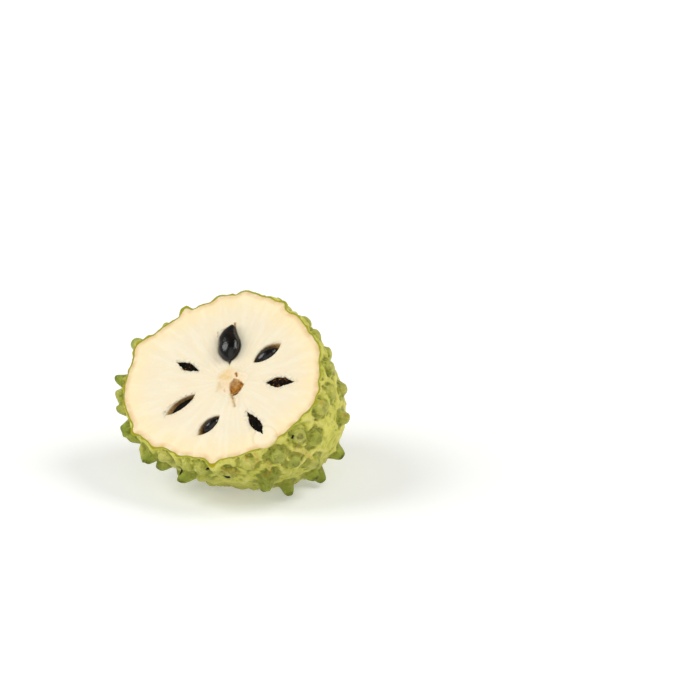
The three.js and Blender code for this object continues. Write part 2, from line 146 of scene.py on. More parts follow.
# A pocket and its seed. at and turn place them on the cut face, mouth is the pocket's length and width, seed
# is the seed's length, width and thickness, and depth is how deep its middle lies. The rest may be left out.
PLAIN = dict(
    shift=0,  # of the seed along its pocket
    lining=0.5,  # how brown the pocket's wall is
    slope=0,  # how far the outer wall leans inwards for each mm of depth
    belly=0,  # where the outline is widest, from -1 to 1
    thorn=0,  # length of the thin point at the inner end
    bow=0,  # how far the middle bends sideways
    shoulder=0,  # how far the outer half bends sideways
    barb=(0, 1, 0),  # a torn point of the mouth: its place, its side and its height
    cut=False,  # whether the knife met the seed
    dull=False,
)
SEEDS = tuple(PLAIN | seed for seed in (
    dict(
        at=(3.3, 19.8), turn=88.8, mouth=(25.2, 11.7), seed=(25, 11, 7.4), depth=-0.6, lining=0.1,
        belly=-0.12, thorn=0.2, bow=0.9, shoulder=1,
    ),
    dict(
        at=(22.9, 11.7), turn=33, mouth=(17.5, 7.6), seed=(13.8, 7.6, 6), depth=2.8, lining=1,
        shift=-1.7, slope=0.9,
    ),
    dict(
        at=(30.2, -7.7), turn=-9, mouth=(15.8, 6), seed=(15, 5.6, 6.6), depth=1, cut=True,
        belly=-0.2, barb=(0.25, 1, 1.3),
    ),
    dict(
        at=(17.9, -29.6), turn=-59, mouth=(18.4, 5.2), seed=(17.4, 4.8, 6.6), depth=1, cut=True,
        barb=(0.45, 1, 1.2),
    ),
    dict(
        at=(-7, -26.2), turn=-141, mouth=(15.2, 6.7), seed=(11.4, 6, 6), depth=2.8, lining=1,
        shift=-1.7, slope=0.9,
    ),
    dict(
        at=(-22.9, -11.1), turn=-149, mouth=(19, 5.8), seed=(16, 5.2, 4.6), depth=4.2, lining=1,
        shift=-1.4, slope=1.2, dull=True,
    ),
    dict(
        at=(-19.8, 11.5), turn=148, mouth=(15.4, 4.6), seed=(14.6, 4.2, 6.2), depth=1, cut=True,
        barb=(0.1, 1, 1),
    ),
))
# The outlines where the knife met a seed and where it didn't: how fast the ends taper, how full the seed
# and the mouth of its pocket are, and how torn the mouth is.
CUT = dict(taper=1.15, seed=1.5, mouth=1.5, torn=0.7)
WHOLE = dict(taper=0.8, seed=2.2, mouth=1.9, torn=0.22)
THORN_WIDTH = 0.6  # over its length
BARB_WIDTH = 0.06
SEED_SINK = 0.25  # a seed that the knife met stays this far under the cut
POCKET_DEPTH = 7.5
CORE = dict(at=(4.6, -2.6), radius=7.4, depth=9)
LOBE = dict(at=(23.4, -38.9), size=(6.6, 6.0, 0.55), turn=-59, rise=0.15)  # pulp that hangs over the rim
STALK = dict(radius=3, length=7.6)

# Strokes that shape the heart of the cut face: from, to, width, height, how tan and how brown each is.
HEART_STROKES = (
    ((1.4, 2.8), (3.8, 3.6), 2.6, 0.25, 0.9, 0),
    ((-0.6, 1.2), (3.2, 0.2), 2.4, 0.2, 1.0, 0.05),
    ((-1.9, -2.6), (-1.2, -5.2), 1.4, 0.1, 0.8, 0.1),
    ((7.0, 3.0), (9.2, -0.5), 1.2, 0.35, 0.15, 0),
    ((0.8, -1.8), (2.4, -8.0), 1.1, 0.75, 0, 0),
    ((2.6, -8.6), (4.8, -17.5), 0.9, 0.35, 0.05, 0),
    ((8.4, -11.8), (7.9, -18.5), 1.0, 0.4, 0, 0),
    ((4.4, -9.8), (5.6, -12.6), 0.7, -0.5, 0.3, 0.8),
    ((5.2, -11), (6.9, -17.8), 0.65, -0.35, 0.9, 0.45),
    ((3.4, -12.4), (4.4, -16.4), 0.6, 0.3, 0.3, 0),
    ((8.2, -12), (7.9, -16.8), 0.8, 0.35, 0, 0),
    ((6.7, 2.0), (7.0, 0.4), 0.6, -0.8, 0, 1.3),
    ((-2.1, -2.2), (-3.0, -6.9), 0.7, -0.1, 0.8, 0.12),
    ((1.0, -6.8), (1.4, -7.8), 0.6, -0.1, 0.2, 0.35),
    ((4.9, 33), (5.2, 30.4), 0.4, 0.3, 0, 1.2),
    ((-1.8, 30.2), (1.6, 31.8), 0.35, 0.2, 0, 0.7),
    ((-4.2, 29.6), (-4.2, 26), 0.3, 0.1, 0, 0.6),
)
FRAY = (0.35, 1.6)  # how far the strokes' edges stray, and the size of a bend
PIT = (  # the brown pit's corners, clockwise
    (5.6, -1), (8.6, -2.2), (11.2, -5.4), (9.6, -8.9), (7.3, -11.6), (5.5, -11.4), (3.8, -8.2), (3.3, -4),
)
PIT_DEPTH = 2.2


# ---------------------------------------------------------------- the fruit's form


def axes_as_it_lies():
    """The fruit's x, y and z in the frame, one to a row. Its z is square to the cut face."""
    level = math.sin(LEAN)
    normal = np.array([level * math.cos(HEADING), level * math.sin(HEADING), math.cos(LEAN)])
    right = np.array([1.0, 0, 0]) - normal * normal[0]
    right /= np.linalg.norm(right)
    return np.array([right, np.cross(normal, right), normal])


AXES = axes_as_it_lies()
UP = AXES[:, 2]


def lay_down(points):
    return (np.asarray(points) @ AXES + FACE_CENTRE) * MM


def height_above_table(points):
    return FACE_CENTRE[2] + points @ UP


def press(points, level=0.0):
    """What would go under the table is pressed flat on it."""
    under = np.maximum(level - height_above_table(points), 0)
    return points + under[..., None] * UP


def smooth(value, low, high):
    """0 at low, 1 at high, and even at both."""
    share = np.clip((value - low) / (high - low), 0, 1)
    return share * share * (3 - 2 * share)


def bell(far, width, power=2):
    """1 where far is 0, falling away over about the width."""
    return np.exp(-((far / width) ** power))


def around(count):
    """Even angles for the corners of a ring."""
    return np.arange(count) * 2 * math.pi / count


def spokes(angle):
    """The way that each angle points on the cut face."""
    return np.stack([np.cos(angle), np.sin(angle)], -1)


SCATTER = (127.1, 311.7, 43758.5453)  # uneven numbers, which make neighbouring draws unlike


def draw(first, second):
    """The same draw for the same two whole numbers, from 0 to 1."""
    wave = math.sin(first * SCATTER[0] + second * SCATTER[1]) * SCATTER[2]
    return wave - math.floor(wave)


def grain(points, size, octaves=3):
    """Smooth noise from about -1 to 1, in patches of the given size."""
    return np.array([noise.fractal(Vector(p), 1.0, 2.0, octaves) for p in np.asarray(points) / size])


noise.seed_set(1)  # without a seed, noise_vector would follow the clock


def wander(points, size):
    """A smooth push to every side for each point, from about -1 to 1 each way."""
    return np.array([noise.noise_vector(Vector(p)) for p in np.asarray(points) / size])


def latitude_at(depth):
    run = depth - WIDEST_DEPTH
    return math.asin(max(-1, min(1, run / (BELOW if run > 0 else ABOVE))))


def swell_at(angle, degrees, height, half_width):
    turn = angle - math.radians(degrees)
    away = np.degrees(np.arctan2(np.sin(turn), np.cos(turn)))
    return height * bell(away, half_width)


def profile(latitude):
    """Depth below the cut, and half width over the rim's, down the body's side."""
    rise = np.sin(latitude)
    depth = WIDEST_DEPTH + rise * np.where(rise > 0, BELOW, ABOVE)
    return depth, WIDEST * np.cos(latitude) * (1 - TAPER * np.maximum(rise, 0) ** 2)


def body(angle, latitude):
    depth, width = profile(latitude)
    fade = np.sqrt(np.clip(1 - depth / DEPTH, 0, 1))
    wave = sum(c * np.cos((k + 1) * angle) + s * np.sin((k + 1) * angle) for k, (c, s) in enumerate(OUTLINE))
    swell = sum(swell_at(angle, *each) for each in RIM_SWELLS) * bell(depth, SWELL_DEPTH)
    degrees, middle, height, half_width, half_depth = FLAT
    swell += swell_at(angle, degrees, height, half_width) * bell(depth - middle, half_depth)
    radius = width * (RIM_RADIUS + fade * wave + swell)
    x = radius * np.cos(angle) + DRIFT[0] * depth
    y = radius * np.sin(angle) + DRIFT[1] * depth
    return np.stack([x, y, -depth], -1)


def body_normal(angle, latitude):
    step = 1e-4
    latitude = np.minimum(latitude, math.pi / 2 - 2 * step)
    across = body(angle + step, latitude) - body(angle - step, latitude)
    along = body(angle, latitude + step) - body(angle, latitude - step)
    normal = -np.cross(across, along)
    return normal / np.linalg.norm(normal, axis=-1, keepdims=True)


class Spines:
    """Every spine's place, lean, height and width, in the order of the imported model."""

    def __init__(self):
        self.point = np.empty((0, 3))
        self.lean = np.empty((0, 3))
        self.tall = np.empty(0)
        self.wide = np.empty(0)
        for degrees, depth, tall in RIM_SPINES + SIDE_SPINES:
            self.add(math.radians(degrees), latitude_at(depth), tall)
        lowest = math.sin(latitude_at(TOP_DEPTH + 2))
        for k in range(CANDIDATES):
            latitude = math.asin(1 - (1 - lowest) * (k + 0.5) / CANDIDATES)
            angle = (k * GOLDEN_ANGLE) % (2 * math.pi)
            apart = np.linalg.norm(self.point - body(angle, latitude), axis=1)
            if apart.min() >= SPINE_SPACING:
                low, high = SPINE_HEIGHT
                tall = low + (high - low) * draw(len(self.tall), 0)
                self.add(angle, latitude, tall * self.calm(angle, latitude))
        for degrees, depth, tall in SMALL_SPINES:
            self.add(math.radians(degrees), latitude_at(depth), tall)

    @staticmethod
    def calm(angle, latitude):
        spots = [body(math.radians(degrees), latitude_at(depth)) for degrees, depth in CALM]
        near = min(np.linalg.norm(body(angle, latitude) - spot) for spot in spots)
        return smooth(near, *CALM_REACH)

    def add(self, angle, latitude, tall):
        index = len(self.tall)
        point = body(angle, latitude)
        normal = body_normal(angle, latitude)
        to_cut = np.array([0, 0, 1.0]) - normal * normal[2]
        lean = to_cut * (SPINE_LEAN + CURL * (draw(index, 1) - 0.5))
        lean += np.cross(normal, to_cut) * CURL * 2 * (draw(index, 2) - 0.5)
        free = smooth(height_above_table(point), 0, PRESSED)
        side = 1 - LOW_SIDE[1] * max(0, math.cos(angle - LOW_SIDE[0]))
        low, run = STEM_END_CALM
        stem_end = 1 - low * smooth(-point[2], DEPTH - run, DEPTH)
        self.point = np.vstack([self.point, point])
        self.lean = np.vstack([self.lean, lean])
        self.tall = np.append(self.tall, tall * free * side * stem_end)
        least, more = WIDTH_SPREAD
        self.wide = np.append(self.wide, SPINE_WIDTH * (least + more * draw(index, 3)))


SPINES = Spines()
STEM_END = body(0.0, math.pi / 2)


def dimple(point):
    return STEM_DIMPLE[0] * bell(np.linalg.norm(point - STEM_END, axis=-1), STEM_DIMPLE[1])


def near_spines(point):
    return np.linalg.norm(point[:, None] - SPINES.point[None], axis=-1)


def relief(point, normal):
    """How far the rind stands off the body, and what each place of it is."""
    far = near_spines(point) * (1 + TATTER[0] * grain(point, TATTER[1], 2))[:, None]
    crooked = near_spines(point + WANDER[0] * wander(point, WANDER[1]))
    order = np.argpartition(crooked, 1, axis=1)[:, :2]
    rows = np.arange(len(point))
    first, second = crooked[rows, order[:, 0]], crooked[rows, order[:, 1]]
    nearest = np.where(first > second, order[:, 1], order[:, 0])
    first, second = np.minimum(first, second), np.maximum(first, second)
    share = bell(far, SPINES.wide, SPINE_POWER)
    foot = bell(far, FLARE[1])
    uneven = smooth(grain(point + 5, 6), -0.5, 0.5)
    seam = bell(second - first, SEAM_WIDTH * (0.6 + 0.8 * uneven)) * (0.3 + 0.7 * uneven)
    depth, radius, half_width = MOAT
    moat = bell(first - radius, half_width)
    height = (SPINES.tall * (share * (1 - FLARE[0]) + foot * FLARE[0])).sum(1)
    height += SEAM_HEIGHT * seam - depth * SPINES.tall[nearest] * moat - dimple(point)
    shift = (SPINES.tall * share * share) @ SPINES.lean + normal * height[:, None]
    disc = (share * smooth(SPINES.tall, 0.5, 2.5)).max(1)
    return shift, dict(spine=disc, seam=seam, moat=moat, nearest=nearest)


def in_parts(work, *arrays, size=8000):
    """Runs work on slices of long arrays, and joins the results."""
    starts = range(0, len(arrays[0]), size)
    done = [work(*(a[s:s + size] for a in arrays)) for s in starts]
    shares = {key: np.concatenate([d[1][key] for d in done]) for key in done[0][1]}
    return np.concatenate([d[0] for d in done]), shares


def inner_skin(angle, latitude, inset):
    """The smoother surface below the rind, this far under the body."""
    point, normal = body(angle, latitude), body_normal(angle, latitude)
    feet = (SPINES.tall * bell(near_spines(point), FLARE[1])).max(1)
    return press(point + normal * (SWELL * feet - dimple(point) - inset)[:, None], inset)


# ---------------------------------------------------------------- meshes and finishes


class Net:
    """Corners and faces of a mesh under way, with named shares from 0 to 1 for its finish."""

    def __init__(self):
        self.parts = []
        self.shares = {}
        self.count = 0
        self.faces = []

    def add(self, points, **shares):
        points = np.asarray(points, float).reshape(-1, 3)
        corners = np.arange(self.count, self.count + len(points))
        self.parts.append(points)
        self.count += len(points)
        self.share(corners, **shares)
        return corners

    def share(self, corners, **shares):
        for key, value in shares.items():
            self.shares.setdefault(key, []).append((corners, value))

    def join(self, rings):
        """Faces between neighbouring rings. A ring has as many corners as the one before, half, or one."""
        for upper, lower in zip(rings, rings[1:]):
            upper, lower = [int(i) for i in upper], [int(i) for i in lower]
            n, m = len(upper), len(lower)
            for k in range(n if m in (1, n) else m):
                if m == 1:
                    self.faces.append((upper[k], upper[(k + 1) % n], lower[0]))
                elif n == m:
                    self.faces.append((upper[k], upper[(k + 1) % n], lower[(k + 1) % n], lower[k]))
                else:
                    a, b, c = upper[2 * k], upper[2 * k + 1], upper[(2 * k + 2) % n]
                    d, e = lower[k], lower[(k + 1) % m]
                    self.faces += [(a, b, d), (b, e, d), (b, c, e)]

    def piece(self, name, slot, finish, crease=None):
        """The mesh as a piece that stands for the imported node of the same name."""
        points = np.concatenate(self.parts)
        mesh = bpy.data.meshes.new(name)
        mesh.from_pydata(lay_down(points), [], self.faces)
        for key, runs in self.shares.items():
            values = np.zeros(len(points))
            for corners, value in runs:
                values[corners] = value
            mesh.attributes.new(key, "FLOAT", "POINT").data.foreach_set("value", values)
        stored = mesh.attributes.new("fruit", "FLOAT_VECTOR", "POINT")
        stored.data.foreach_set("vector", (points * MM).ravel())
        work = bmesh.new()
        work.from_mesh(mesh)
        bmesh.ops.recalc_face_normals(work, faces=work.faces)
        work.to_mesh(mesh)
        work.free()
        mesh.shade_smooth()
        if crease:
            mesh.set_sharp_from_angle(angle=math.radians(crease))
        mesh.materials.append(finish)
        piece = bpy.data.objects.new(name, mesh)
        bpy.context.scene.collection.objects.link(piece)
        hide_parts(name.removesuffix("_dressed"))
        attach(piece, "root")
        return piece


def linear(*levels):
    """A colour as it looks on a screen, 0 to 255, in the amounts of light that Blender counts in."""
    return tuple(((v / 255 + 0.055) / 1.055) ** 2.4 if v > 10 else v / 255 / 12.92 for v in levels)


class Nodes:
    """A tree whose nodes are added one at a time. Each call gives the socket of what it made."""

    def __init__(self, tree):
        self.nodes = tree.nodes
        self.links = tree.links

    def feed(self, socket, value):
        if isinstance(value, bpy.types.NodeSocket):
            self.links.new(value, socket)
        elif socket.type == "RGBA":
            socket.default_value = (*value[:3], 1)
        else:
            socket.default_value = value

    def node(self, kind, inputs, output=0, **settings):
        made = self.nodes.new("ShaderNode" + kind)
        for key, value in settings.items():
            setattr(made, key, value)
        for socket, value in inputs.items():
            self.feed(made.inputs[socket], value)
        return made.outputs[output]

    def share(self, name):
        return self.node("Attribute", {}, "Fac", attribute_name=name)

    def vector(self, name):
        return self.node("Attribute", {}, "Vector", attribute_name=name)

    def noise(self, size, detail=3.0, at=None, roughness=0.5, distortion=0.0):
        inputs = {"Scale": 1 / (size * MM), "Detail": detail, "Roughness": roughness}
        inputs.update({"Distortion": distortion, "Vector": at or self.vector("fruit")})
        return self.node("TexNoise", inputs, "Fac")

    def span(self, value, low, high, least=0.0, most=1.0):
        """least where the value is at low or below, most where it is at high or above."""
        inputs = {"Value": value, "From Min": low, "From Max": high, "To Min": least, "To Max": most}
        return self.node("MapRange", inputs, "Result", interpolation_type="SMOOTHSTEP")

    def math(self, operation, first, second=0.0):
        return self.node("Math", {0: first, 1: second}, operation=operation)

    def times(self, first, second):
        return self.math("MULTIPLY", first, second)

    def mix(self, share, first, second):
        return self.node("Mix", {0: share, 6: first, 7: second}, 2, data_type="RGBA")

    def bump(self, height, depth, under=None):
        inputs = {"Height": height, "Distance": depth * MM, "Strength": 1.0}
        if under:
            inputs["Normal"] = under
        return self.node("Bump", inputs, "Normal")


class Finish(Nodes):
    """A material that is painted one colour over another."""

    def __init__(self, name, first):
        self.material = bpy.data.materials.new(name)
        self.material.use_nodes = True
        super().__init__(self.material.node_tree)
        self.paint = first

    def over(self, colour, *shares):
        """Lays a colour over the ones before, as strong as the shares multiplied together."""
        self.paint = self.mix(functools.reduce(self.times, shares), self.paint, colour)

    def finish(self, **inputs):
        shader = self.nodes["Principled BSDF"]
        for socket, value in dict(base_color=self.paint, **inputs).items():
            self.feed(shader.inputs[socket.replace("_", " ").title().replace("Ior", "IOR")], value)
        return self.material


def length(name, description, size, most):
    return FloatProperty(
        name=name, description=description, default=size * MM, min=0, max=most * MM,
        subtype="DISTANCE", unit="LENGTH",
    )


def colour(name, description, value):
    return FloatVectorProperty(
        name=name, description=description, default=value, size=3, min=0, max=1, subtype="COLOR"
    )


def amount(name, description, value):
    return FloatProperty(name=name, description=description, default=value, min=0, max=1, subtype="FACTOR")


def strength(name, description, value):
    return FloatProperty(name=name, description=description, default=value, min=0)


# ---------------------------------------------------------------- rind

COLUMNS = 576
ROW = 0.54
HIDDEN_ROW = 3  # spacing of the rows that the flesh hides
HIDDEN_SKIN = 1.4  # thickness of the skin below the cut
EASE = 20  # the rows even out over this run below the wavy rim
RIM_SEARCH = (8, 33)  # how far up and down the skin the cut is looked for, and in how many steps
RIM_ROUNDS = 3
LIP = ((0, -0.1, 0.3), (0.18, 0, 1), (0.6, 0.03, 1), (1, -0.05, 1))  # across the cut skin, height, colour
CREASE_SHADE_DEPTHS = (0.08, 0.34)  # painted shade in a hollow starts at this depth, and is full at that one
CREST_HIGHLIGHT = (0.05, 0.3)  # the same for the painted highlight on a crest, by its height
UNDERSIDE = (0.25, 0.85)  # the same for the painted shade on the underside, by how far the skin looks down

SUNNY = linear(202, 199, 86)  # patches of the ground
PALE_FLECK = linear(226, 220, 140)
DARK_FLECK = linear(96, 102, 20)
# painted shade in the hollows between the spines
CREASE_SHADE_GREEN = linear(78, 92, 12)
RUST = linear(176, 116, 30)
TALL_GREEN = linear(116, 142, 24)
# painted shade on the skin that looks down
UNDERSIDE_SHADE = linear(138, 146, 56)
SCAR_BROWN = linear(170, 78, 20)
HOLE_BLACK = linear(18, 14, 6)
EDGE_GREEN = linear(150, 158, 44)
INSIDE_CREAM = linear(232, 222, 170)


class RindSettings(bpy.types.PropertyGroup):
    skin: length("Skin", "Thickness of the skin at the cut", 0.6, 1.5)
    wrinkle: length("Wrinkles", "Depth of the fine wrinkles", 0.22, 1)
    ground: colour("Ground", "Skin between the spines", linear(221, 213, 104))
    deep: colour("Deep", "Darker blotches of the skin", linear(160, 160, 50))
    # seam colour: raised seams, and also the painted highlight on crests through the share named ridge
    seam: colour("Seams", "Raised seams and worn ridges", linear(224, 217, 130))
    dome: colour("Spines", "Sides of the spines", linear(98, 112, 10))
    bloom: colour("Bloom", "Greyish bloom on the spines", linear(132, 138, 34))
    crown: colour("Crowns", "Yellowish tops of the lower spines", linear(162, 158, 42))
    tip: colour("Tips", "Dried tips of the spines", linear(70, 62, 12))
    edge: colour("Cut edge", "The skin where it is cut", linear(166, 154, 18))


# How dark each spine is, how dry its tip is, and how much it counts as a tall one.
TONES = np.array([draw(k, 7) for k in range(len(SPINES.tall))])
BURNS = np.array([draw(k, 9) for k in range(len(SPINES.tall))])
STANDING = smooth(SPINES.tall, 4.2, 6.2)


def skin_part(angle, latitude, wrinkle):
    """The same as outer_skin, for no more places than memory holds."""
    point, normal = body(angle, latitude), body_normal(angle, latitude)
    shift, shares = relief(point, normal)
    moat, nearest = shares.pop("moat"), shares.pop("nearest")
    fine = grain(point, 3.2) * (0.4 + 0.6 * moat) + 0.35 * grain(point, 1.1)
    fold = np.maximum(1 - 4 * np.abs(grain(point + 17, FOLD[1], 2)), -0.6)
    free = (1 - shares["spine"]) * smooth(-point[:, 2], 0, 4)
    loose = LUMP[0] * grain(point + 40, LUMP[1]) + FOLD[0] * fold
    shift += normal * (wrinkle * fine + loose * free)[:, None]
    hole = np.max([on_mark(point, places, width) for places, width in HOLES], 0)
    scar = on_mark(point, *SCAR) * smooth(grain(point, 1.5), -0.5, 0.3)
    speck = np.max([on_mark(point, places, SPECK_WIDTH) for places in SPECKS], 0)
    ridges = [(on_mark(point, places, RIDGE_WIDTH, 2), tall, brown) for places, tall, brown in RIDGES]
    raised = np.max([ridge * tall for ridge, tall, _ in ridges], 0)
    rust = np.max([speck] + [ridge * brown for ridge, _, brown in ridges], 0)
    shift += normal * (raised - HOLE_DEPTH * hole - SCAR_DEPTH * scar)[:, None]
    # under: painted shade where the skin looks down
    shares.update(hole=hole, scar=scar, rust=rust, under=smooth(-normal @ UP, *UNDERSIDE))
    shares.update(tone=TONES[nearest], burn=BURNS[nearest], stand=STANDING[nearest])
    return press(point + shift), shares


def outer_skin(angle, latitude, wrinkle):
    """Places on the rind's outside, with the shares that its finish reads."""
    return in_parts(lambda a, b: skin_part(a, b, wrinkle), angle, latitude)


def on_mark(point, places, width, power=3):
    """1 along a mark that runs through the given places of the rind, and 0 away from it."""
    stops = [body(math.radians(degrees), latitude_at(depth)) for degrees, depth in places]
    far = np.linalg.norm(point - stops[0], axis=1)
    for start, end in zip(stops, stops[1:]):
        run = end - start
        along = np.clip((point - start) @ run / (run @ run), 0, 1)
        far = np.minimum(far, np.linalg.norm(point - start - along[:, None] * run, axis=1))
    return bell(far, width, power)


def run_table():
    """Latitude and radius against the run along the body's profile, which is 0 at the cut."""
    latitude = np.linspace(latitude_at(TOP_DEPTH), math.pi / 2, 600)
    depth, width = profile(latitude)
    radius = width * RIM_RADIUS
    run = np.concatenate([[0], np.cumsum(np.hypot(np.diff(depth), np.diff(radius)))])
    return run - np.interp(0, depth, run), latitude, radius


RUN, RUN_LATITUDE, RUN_RADIUS = run_table()


def even_rings(start, row, columns, rim_run=None):
    """Angles and latitudes of rings from a run below the cut to the stem end."""
    rings = []
    for run in np.arange(start, RUN[-1] - row / 2, row):
        halvings = int(math.log2(RIM_RADIUS / np.interp(run, RUN, RUN_RADIUS)))
        n = max(columns >> max(halvings, 0), 9)
        eased = np.full(n, run)
        if rim_run is not None:
            eased += rim_run[::columns // n] * (1 - min(run / EASE, 1))
        rings.append((around(n), np.interp(eased, RUN, RUN_LATITUDE)))
    return rings + [(np.zeros(1), np.array([math.pi / 2]))]


def rim_of(wrinkle):
    """Where each column of the rind's outside crosses the cut: latitudes, places and shares."""
    reach, count = RIM_SEARCH
    angle = around(COLUMNS)
    steps = np.linspace(latitude_at(reach), latitude_at(-reach), count)
    tried = outer_skin(np.repeat(angle, count), np.tile(steps, COLUMNS), wrinkle)[0]
    z = tried[:, 2].reshape(COLUMNS, -1)
    over = (z >= 0).argmax(1)
    rows = np.arange(COLUMNS)
    low, high = steps[over - 1], steps[over]
    z_low, z_high = z[rows, over - 1], z[rows, over]
    for _ in range(RIM_ROUNDS):
        middle = low + (high - low) * np.clip(z_low / (z_low - z_high), 0.05, 0.95)
        points, shares = outer_skin(angle, middle, wrinkle)
        above = points[:, 2] >= 0
        high, z_high = np.where(above, middle, high), np.where(above, points[:, 2], z_high)
        low, z_low = np.where(above, low, middle), np.where(above, z_low, points[:, 2])
    points[:, 2] = 0
    return middle, points, shares


def rolling(values, reach, work):
    """work over each value and its neighbours round a ring."""
    return work([np.roll(values, k) for k in range(-reach, reach + 1)])


def hollows(points, faces, outward, rounds=14):
    """How far each corner of a mesh lies below its surroundings, against the given outward ways."""
    edges = np.array([(f[k - 1], f[k]) for f in faces for k in range(len(f))])
    near = np.bincount(edges.ravel(), minlength=len(points)).astype(float)
    even = points
    for _ in range(rounds):
        pulls = even[edges[:, ::-1].ravel()].T
        sums = [np.bincount(edges.ravel(), pull, len(points)) for pull in pulls]
        even = np.stack(sums, 1) / np.maximum(near, 1)[:, None]
    return ((even - points) * outward).sum(1)


class Rim:
    """The rind's outline at the cut and the flesh's outline inside it."""

    def __init__(self, settings):
        self.wrinkle = settings.wrinkle / MM
        self.latitude, self.outside, self.shares = rim_of(self.wrinkle)
        reach = np.hypot(self.outside[:, 0], self.outside[:, 1])
        narrow = rolling(rolling(reach, 2, lambda s: np.min(s, 0)), 3, lambda s: np.mean(s, 0))
        inner = np.minimum(narrow, reach) - settings.skin / MM
        self.inside = self.outside * inner[:, None] / reach[:, None]


def rind_net(settings, rim):
    net = Net()
    rings = even_rings(ROW, ROW, COLUMNS, np.interp(rim.latitude, RUN_LATITUDE, RUN))
    angle = np.concatenate([each for each, _ in rings])
    latitude = np.concatenate([each for _, each in rings])
    points, shares = outer_skin(angle, latitude, rim.wrinkle)
    corners = net.add(points, **shares)
    outside = np.split(corners, np.cumsum([len(each) for each, _ in rings])[:-1])
    lip = []
    for across, z, edge in LIP:
        ring = rim.outside + (rim.inside - rim.outside) * across + [0, 0, z]
        lip.append(net.add(ring, edge=edge, **(rim.shares if across == 0 else {})))
    inner = [
        net.add(rim.inside + [0, 0, -0.8], edge=1, inside=1),
        net.add(rim.inside[::2] + [0, 0, -1.6], edge=1, inside=1),
    ]
    for ring in even_rings(HIDDEN_ROW, HIDDEN_ROW, COLUMNS // 4):
        inner.append(net.add(inner_skin(*ring, HIDDEN_SKIN), inside=1))
    net.join(lip[::-1] + outside)
    outward = np.zeros((net.count, 3))
    outward[corners] = body_normal(angle, latitude)
    # painted shade where the rind lies below its surroundings, painted highlight where it stands above them
    sunk = hollows(np.concatenate(net.parts), net.faces, outward)[corners]
    net.share(corners, hollow=smooth(sunk, *CREASE_SHADE_DEPTHS), ridge=smooth(-sunk, *CREST_HIGHLIGHT))
    net.join([lip[-1]] + inner)
    return net


def rind_finish(s):
    f = Finish("rind_skin", s.ground)
    spine, seam, stand = f.share("spine"), f.share("seam"), f.share("stand")
    tone, burn = f.share("tone"), f.share("burn")
    cloud, mottle, fleck = f.noise(14, 3), f.noise(2.4, 4, roughness=0.65), f.noise(1.2, 3)
    f.over(SUNNY, f.span(cloud, 0.36, 0.64))
    f.over(s.deep, f.span(mottle, 0.46, 0.66), 0.5)
    f.over(s.seam, f.span(seam, 0.5, 1), f.span(cloud, 0.3, 0.6, 0.7, 0.1))
    dome = f.mix(f.span(mottle, 0.4, 0.62), s.dome, s.bloom)
    dome = f.mix(f.times(f.span(spine, 0.75, 0.98), f.span(burn, 0.5, 0.1)), dome, s.crown)
    f.over(dome, f.span(spine, 0.05, 0.35), f.span(tone, 0, 1, 0.55, 0.95), f.span(fleck, 0.3, 0.65, 1, 0.7))
    f.over(PALE_FLECK, f.span(fleck, 0.58, 0.7), 0.4)
    f.over(DARK_FLECK, f.span(fleck, 0.42, 0.3), 0.4)
    # painted highlight on the crests, in the seam colour
    f.over(s.seam, f.share("ridge"), f.span(cloud, 0.3, 0.6, 0.6, 0.2))
    # painted shade in the hollows
    f.over(CREASE_SHADE_GREEN, f.share("hollow"), f.span(mottle, 0.3, 0.6, 0.9, 0.45))
    f.over(RUST, f.share("rust"), f.span(fleck, 0.3, 0.55, 0.8, 0.3))
    f.over(TALL_GREEN, stand, f.span(spine, 0.15, 0.7), 0.65)
    # painted shade on the underside
    f.over(UNDERSIDE_SHADE, f.share("under"), f.span(mottle, 0.3, 0.6, 0.7, 0.35))
    dried = f.times(f.span(spine, 0.88, 0.98), f.span(burn, 0.6, 0.85))
    dried = f.math("MAXIMUM", dried, f.times(f.span(spine, 0.7, 0.95), stand))
    f.over(s.tip, dried, f.span(mottle, 0.3, 0.6, 0.9, 0.4))
    f.over(SCAR_BROWN, f.share("scar"))
    f.over(HOLE_BLACK, f.span(f.share("hole"), 0.25, 0.6))
    f.over(f.mix(f.span(f.noise(4, 2), 0.35, 0.65), s.edge, EDGE_GREEN), f.share("edge"))
    f.over(INSIDE_CREAM, f.share("inside"))
    pores = f.bump(f.noise(0.45, 4), 0.05)
    return f.finish(
        roughness=f.span(mottle, 0.3, 0.7, 0.42, 0.62), subsurface_weight=0.1,
        normal=f.bump(f.noise(1.8, 4, distortion=0.6), 0.4, pores), specular_ior_level=0.15,
        subsurface_radius=(1.0, 1.0, 0.25), subsurface_scale=1.2 * MM,
    )


class SOURSOP_OT_rind(bpy.types.Operator):
    """Build the spiny rind, with its cut edge and its inside"""

    bl_idname = "soursop.rind"
    bl_label = "Rind"

    def execute(self, context):
        settings = context.scene.soursop_rind
        rind_net(settings, Rim(settings)).piece("rind_dressed", "rind", rind_finish(settings))
        return {"FINISHED"}


# ---------------------------------------------------------------- flesh

GRAIN = 0.62  # spacing of the cut face's corners
POCKET_SIDES = 72
SOCKET_SIDES = 80
STREAKS = 14  # how many fibres fan out from the core, and how long they are
WAVES = (0.10, 7)  # height and size of the cut face's gentle waves
SETTLE = 0.03  # how far the face lies under the cut
MOUTH_ROLL = (0.45, 0.45)  # how far the pulp rolls down at a pocket's mouth, and over what width
RIM_ROLL = (0.06, 0.6)  # the same at the rim
WALL_DEPTHS = (0.35, 0.9, 1.7, 2.7, 3.8, 4.9, 5.9, 6.8)
SOCKET_RINGS = ((1.02, 0.9), (0.98, 3), (0.8, 6), (0.45, 8.6))  # width over the mouth's, and depth
TUCK = 0.12  # how far the flesh's edge runs in under the skin
FAR_INSIDE = 20.0  # a distance from the rim that gives the inner pulp's colour

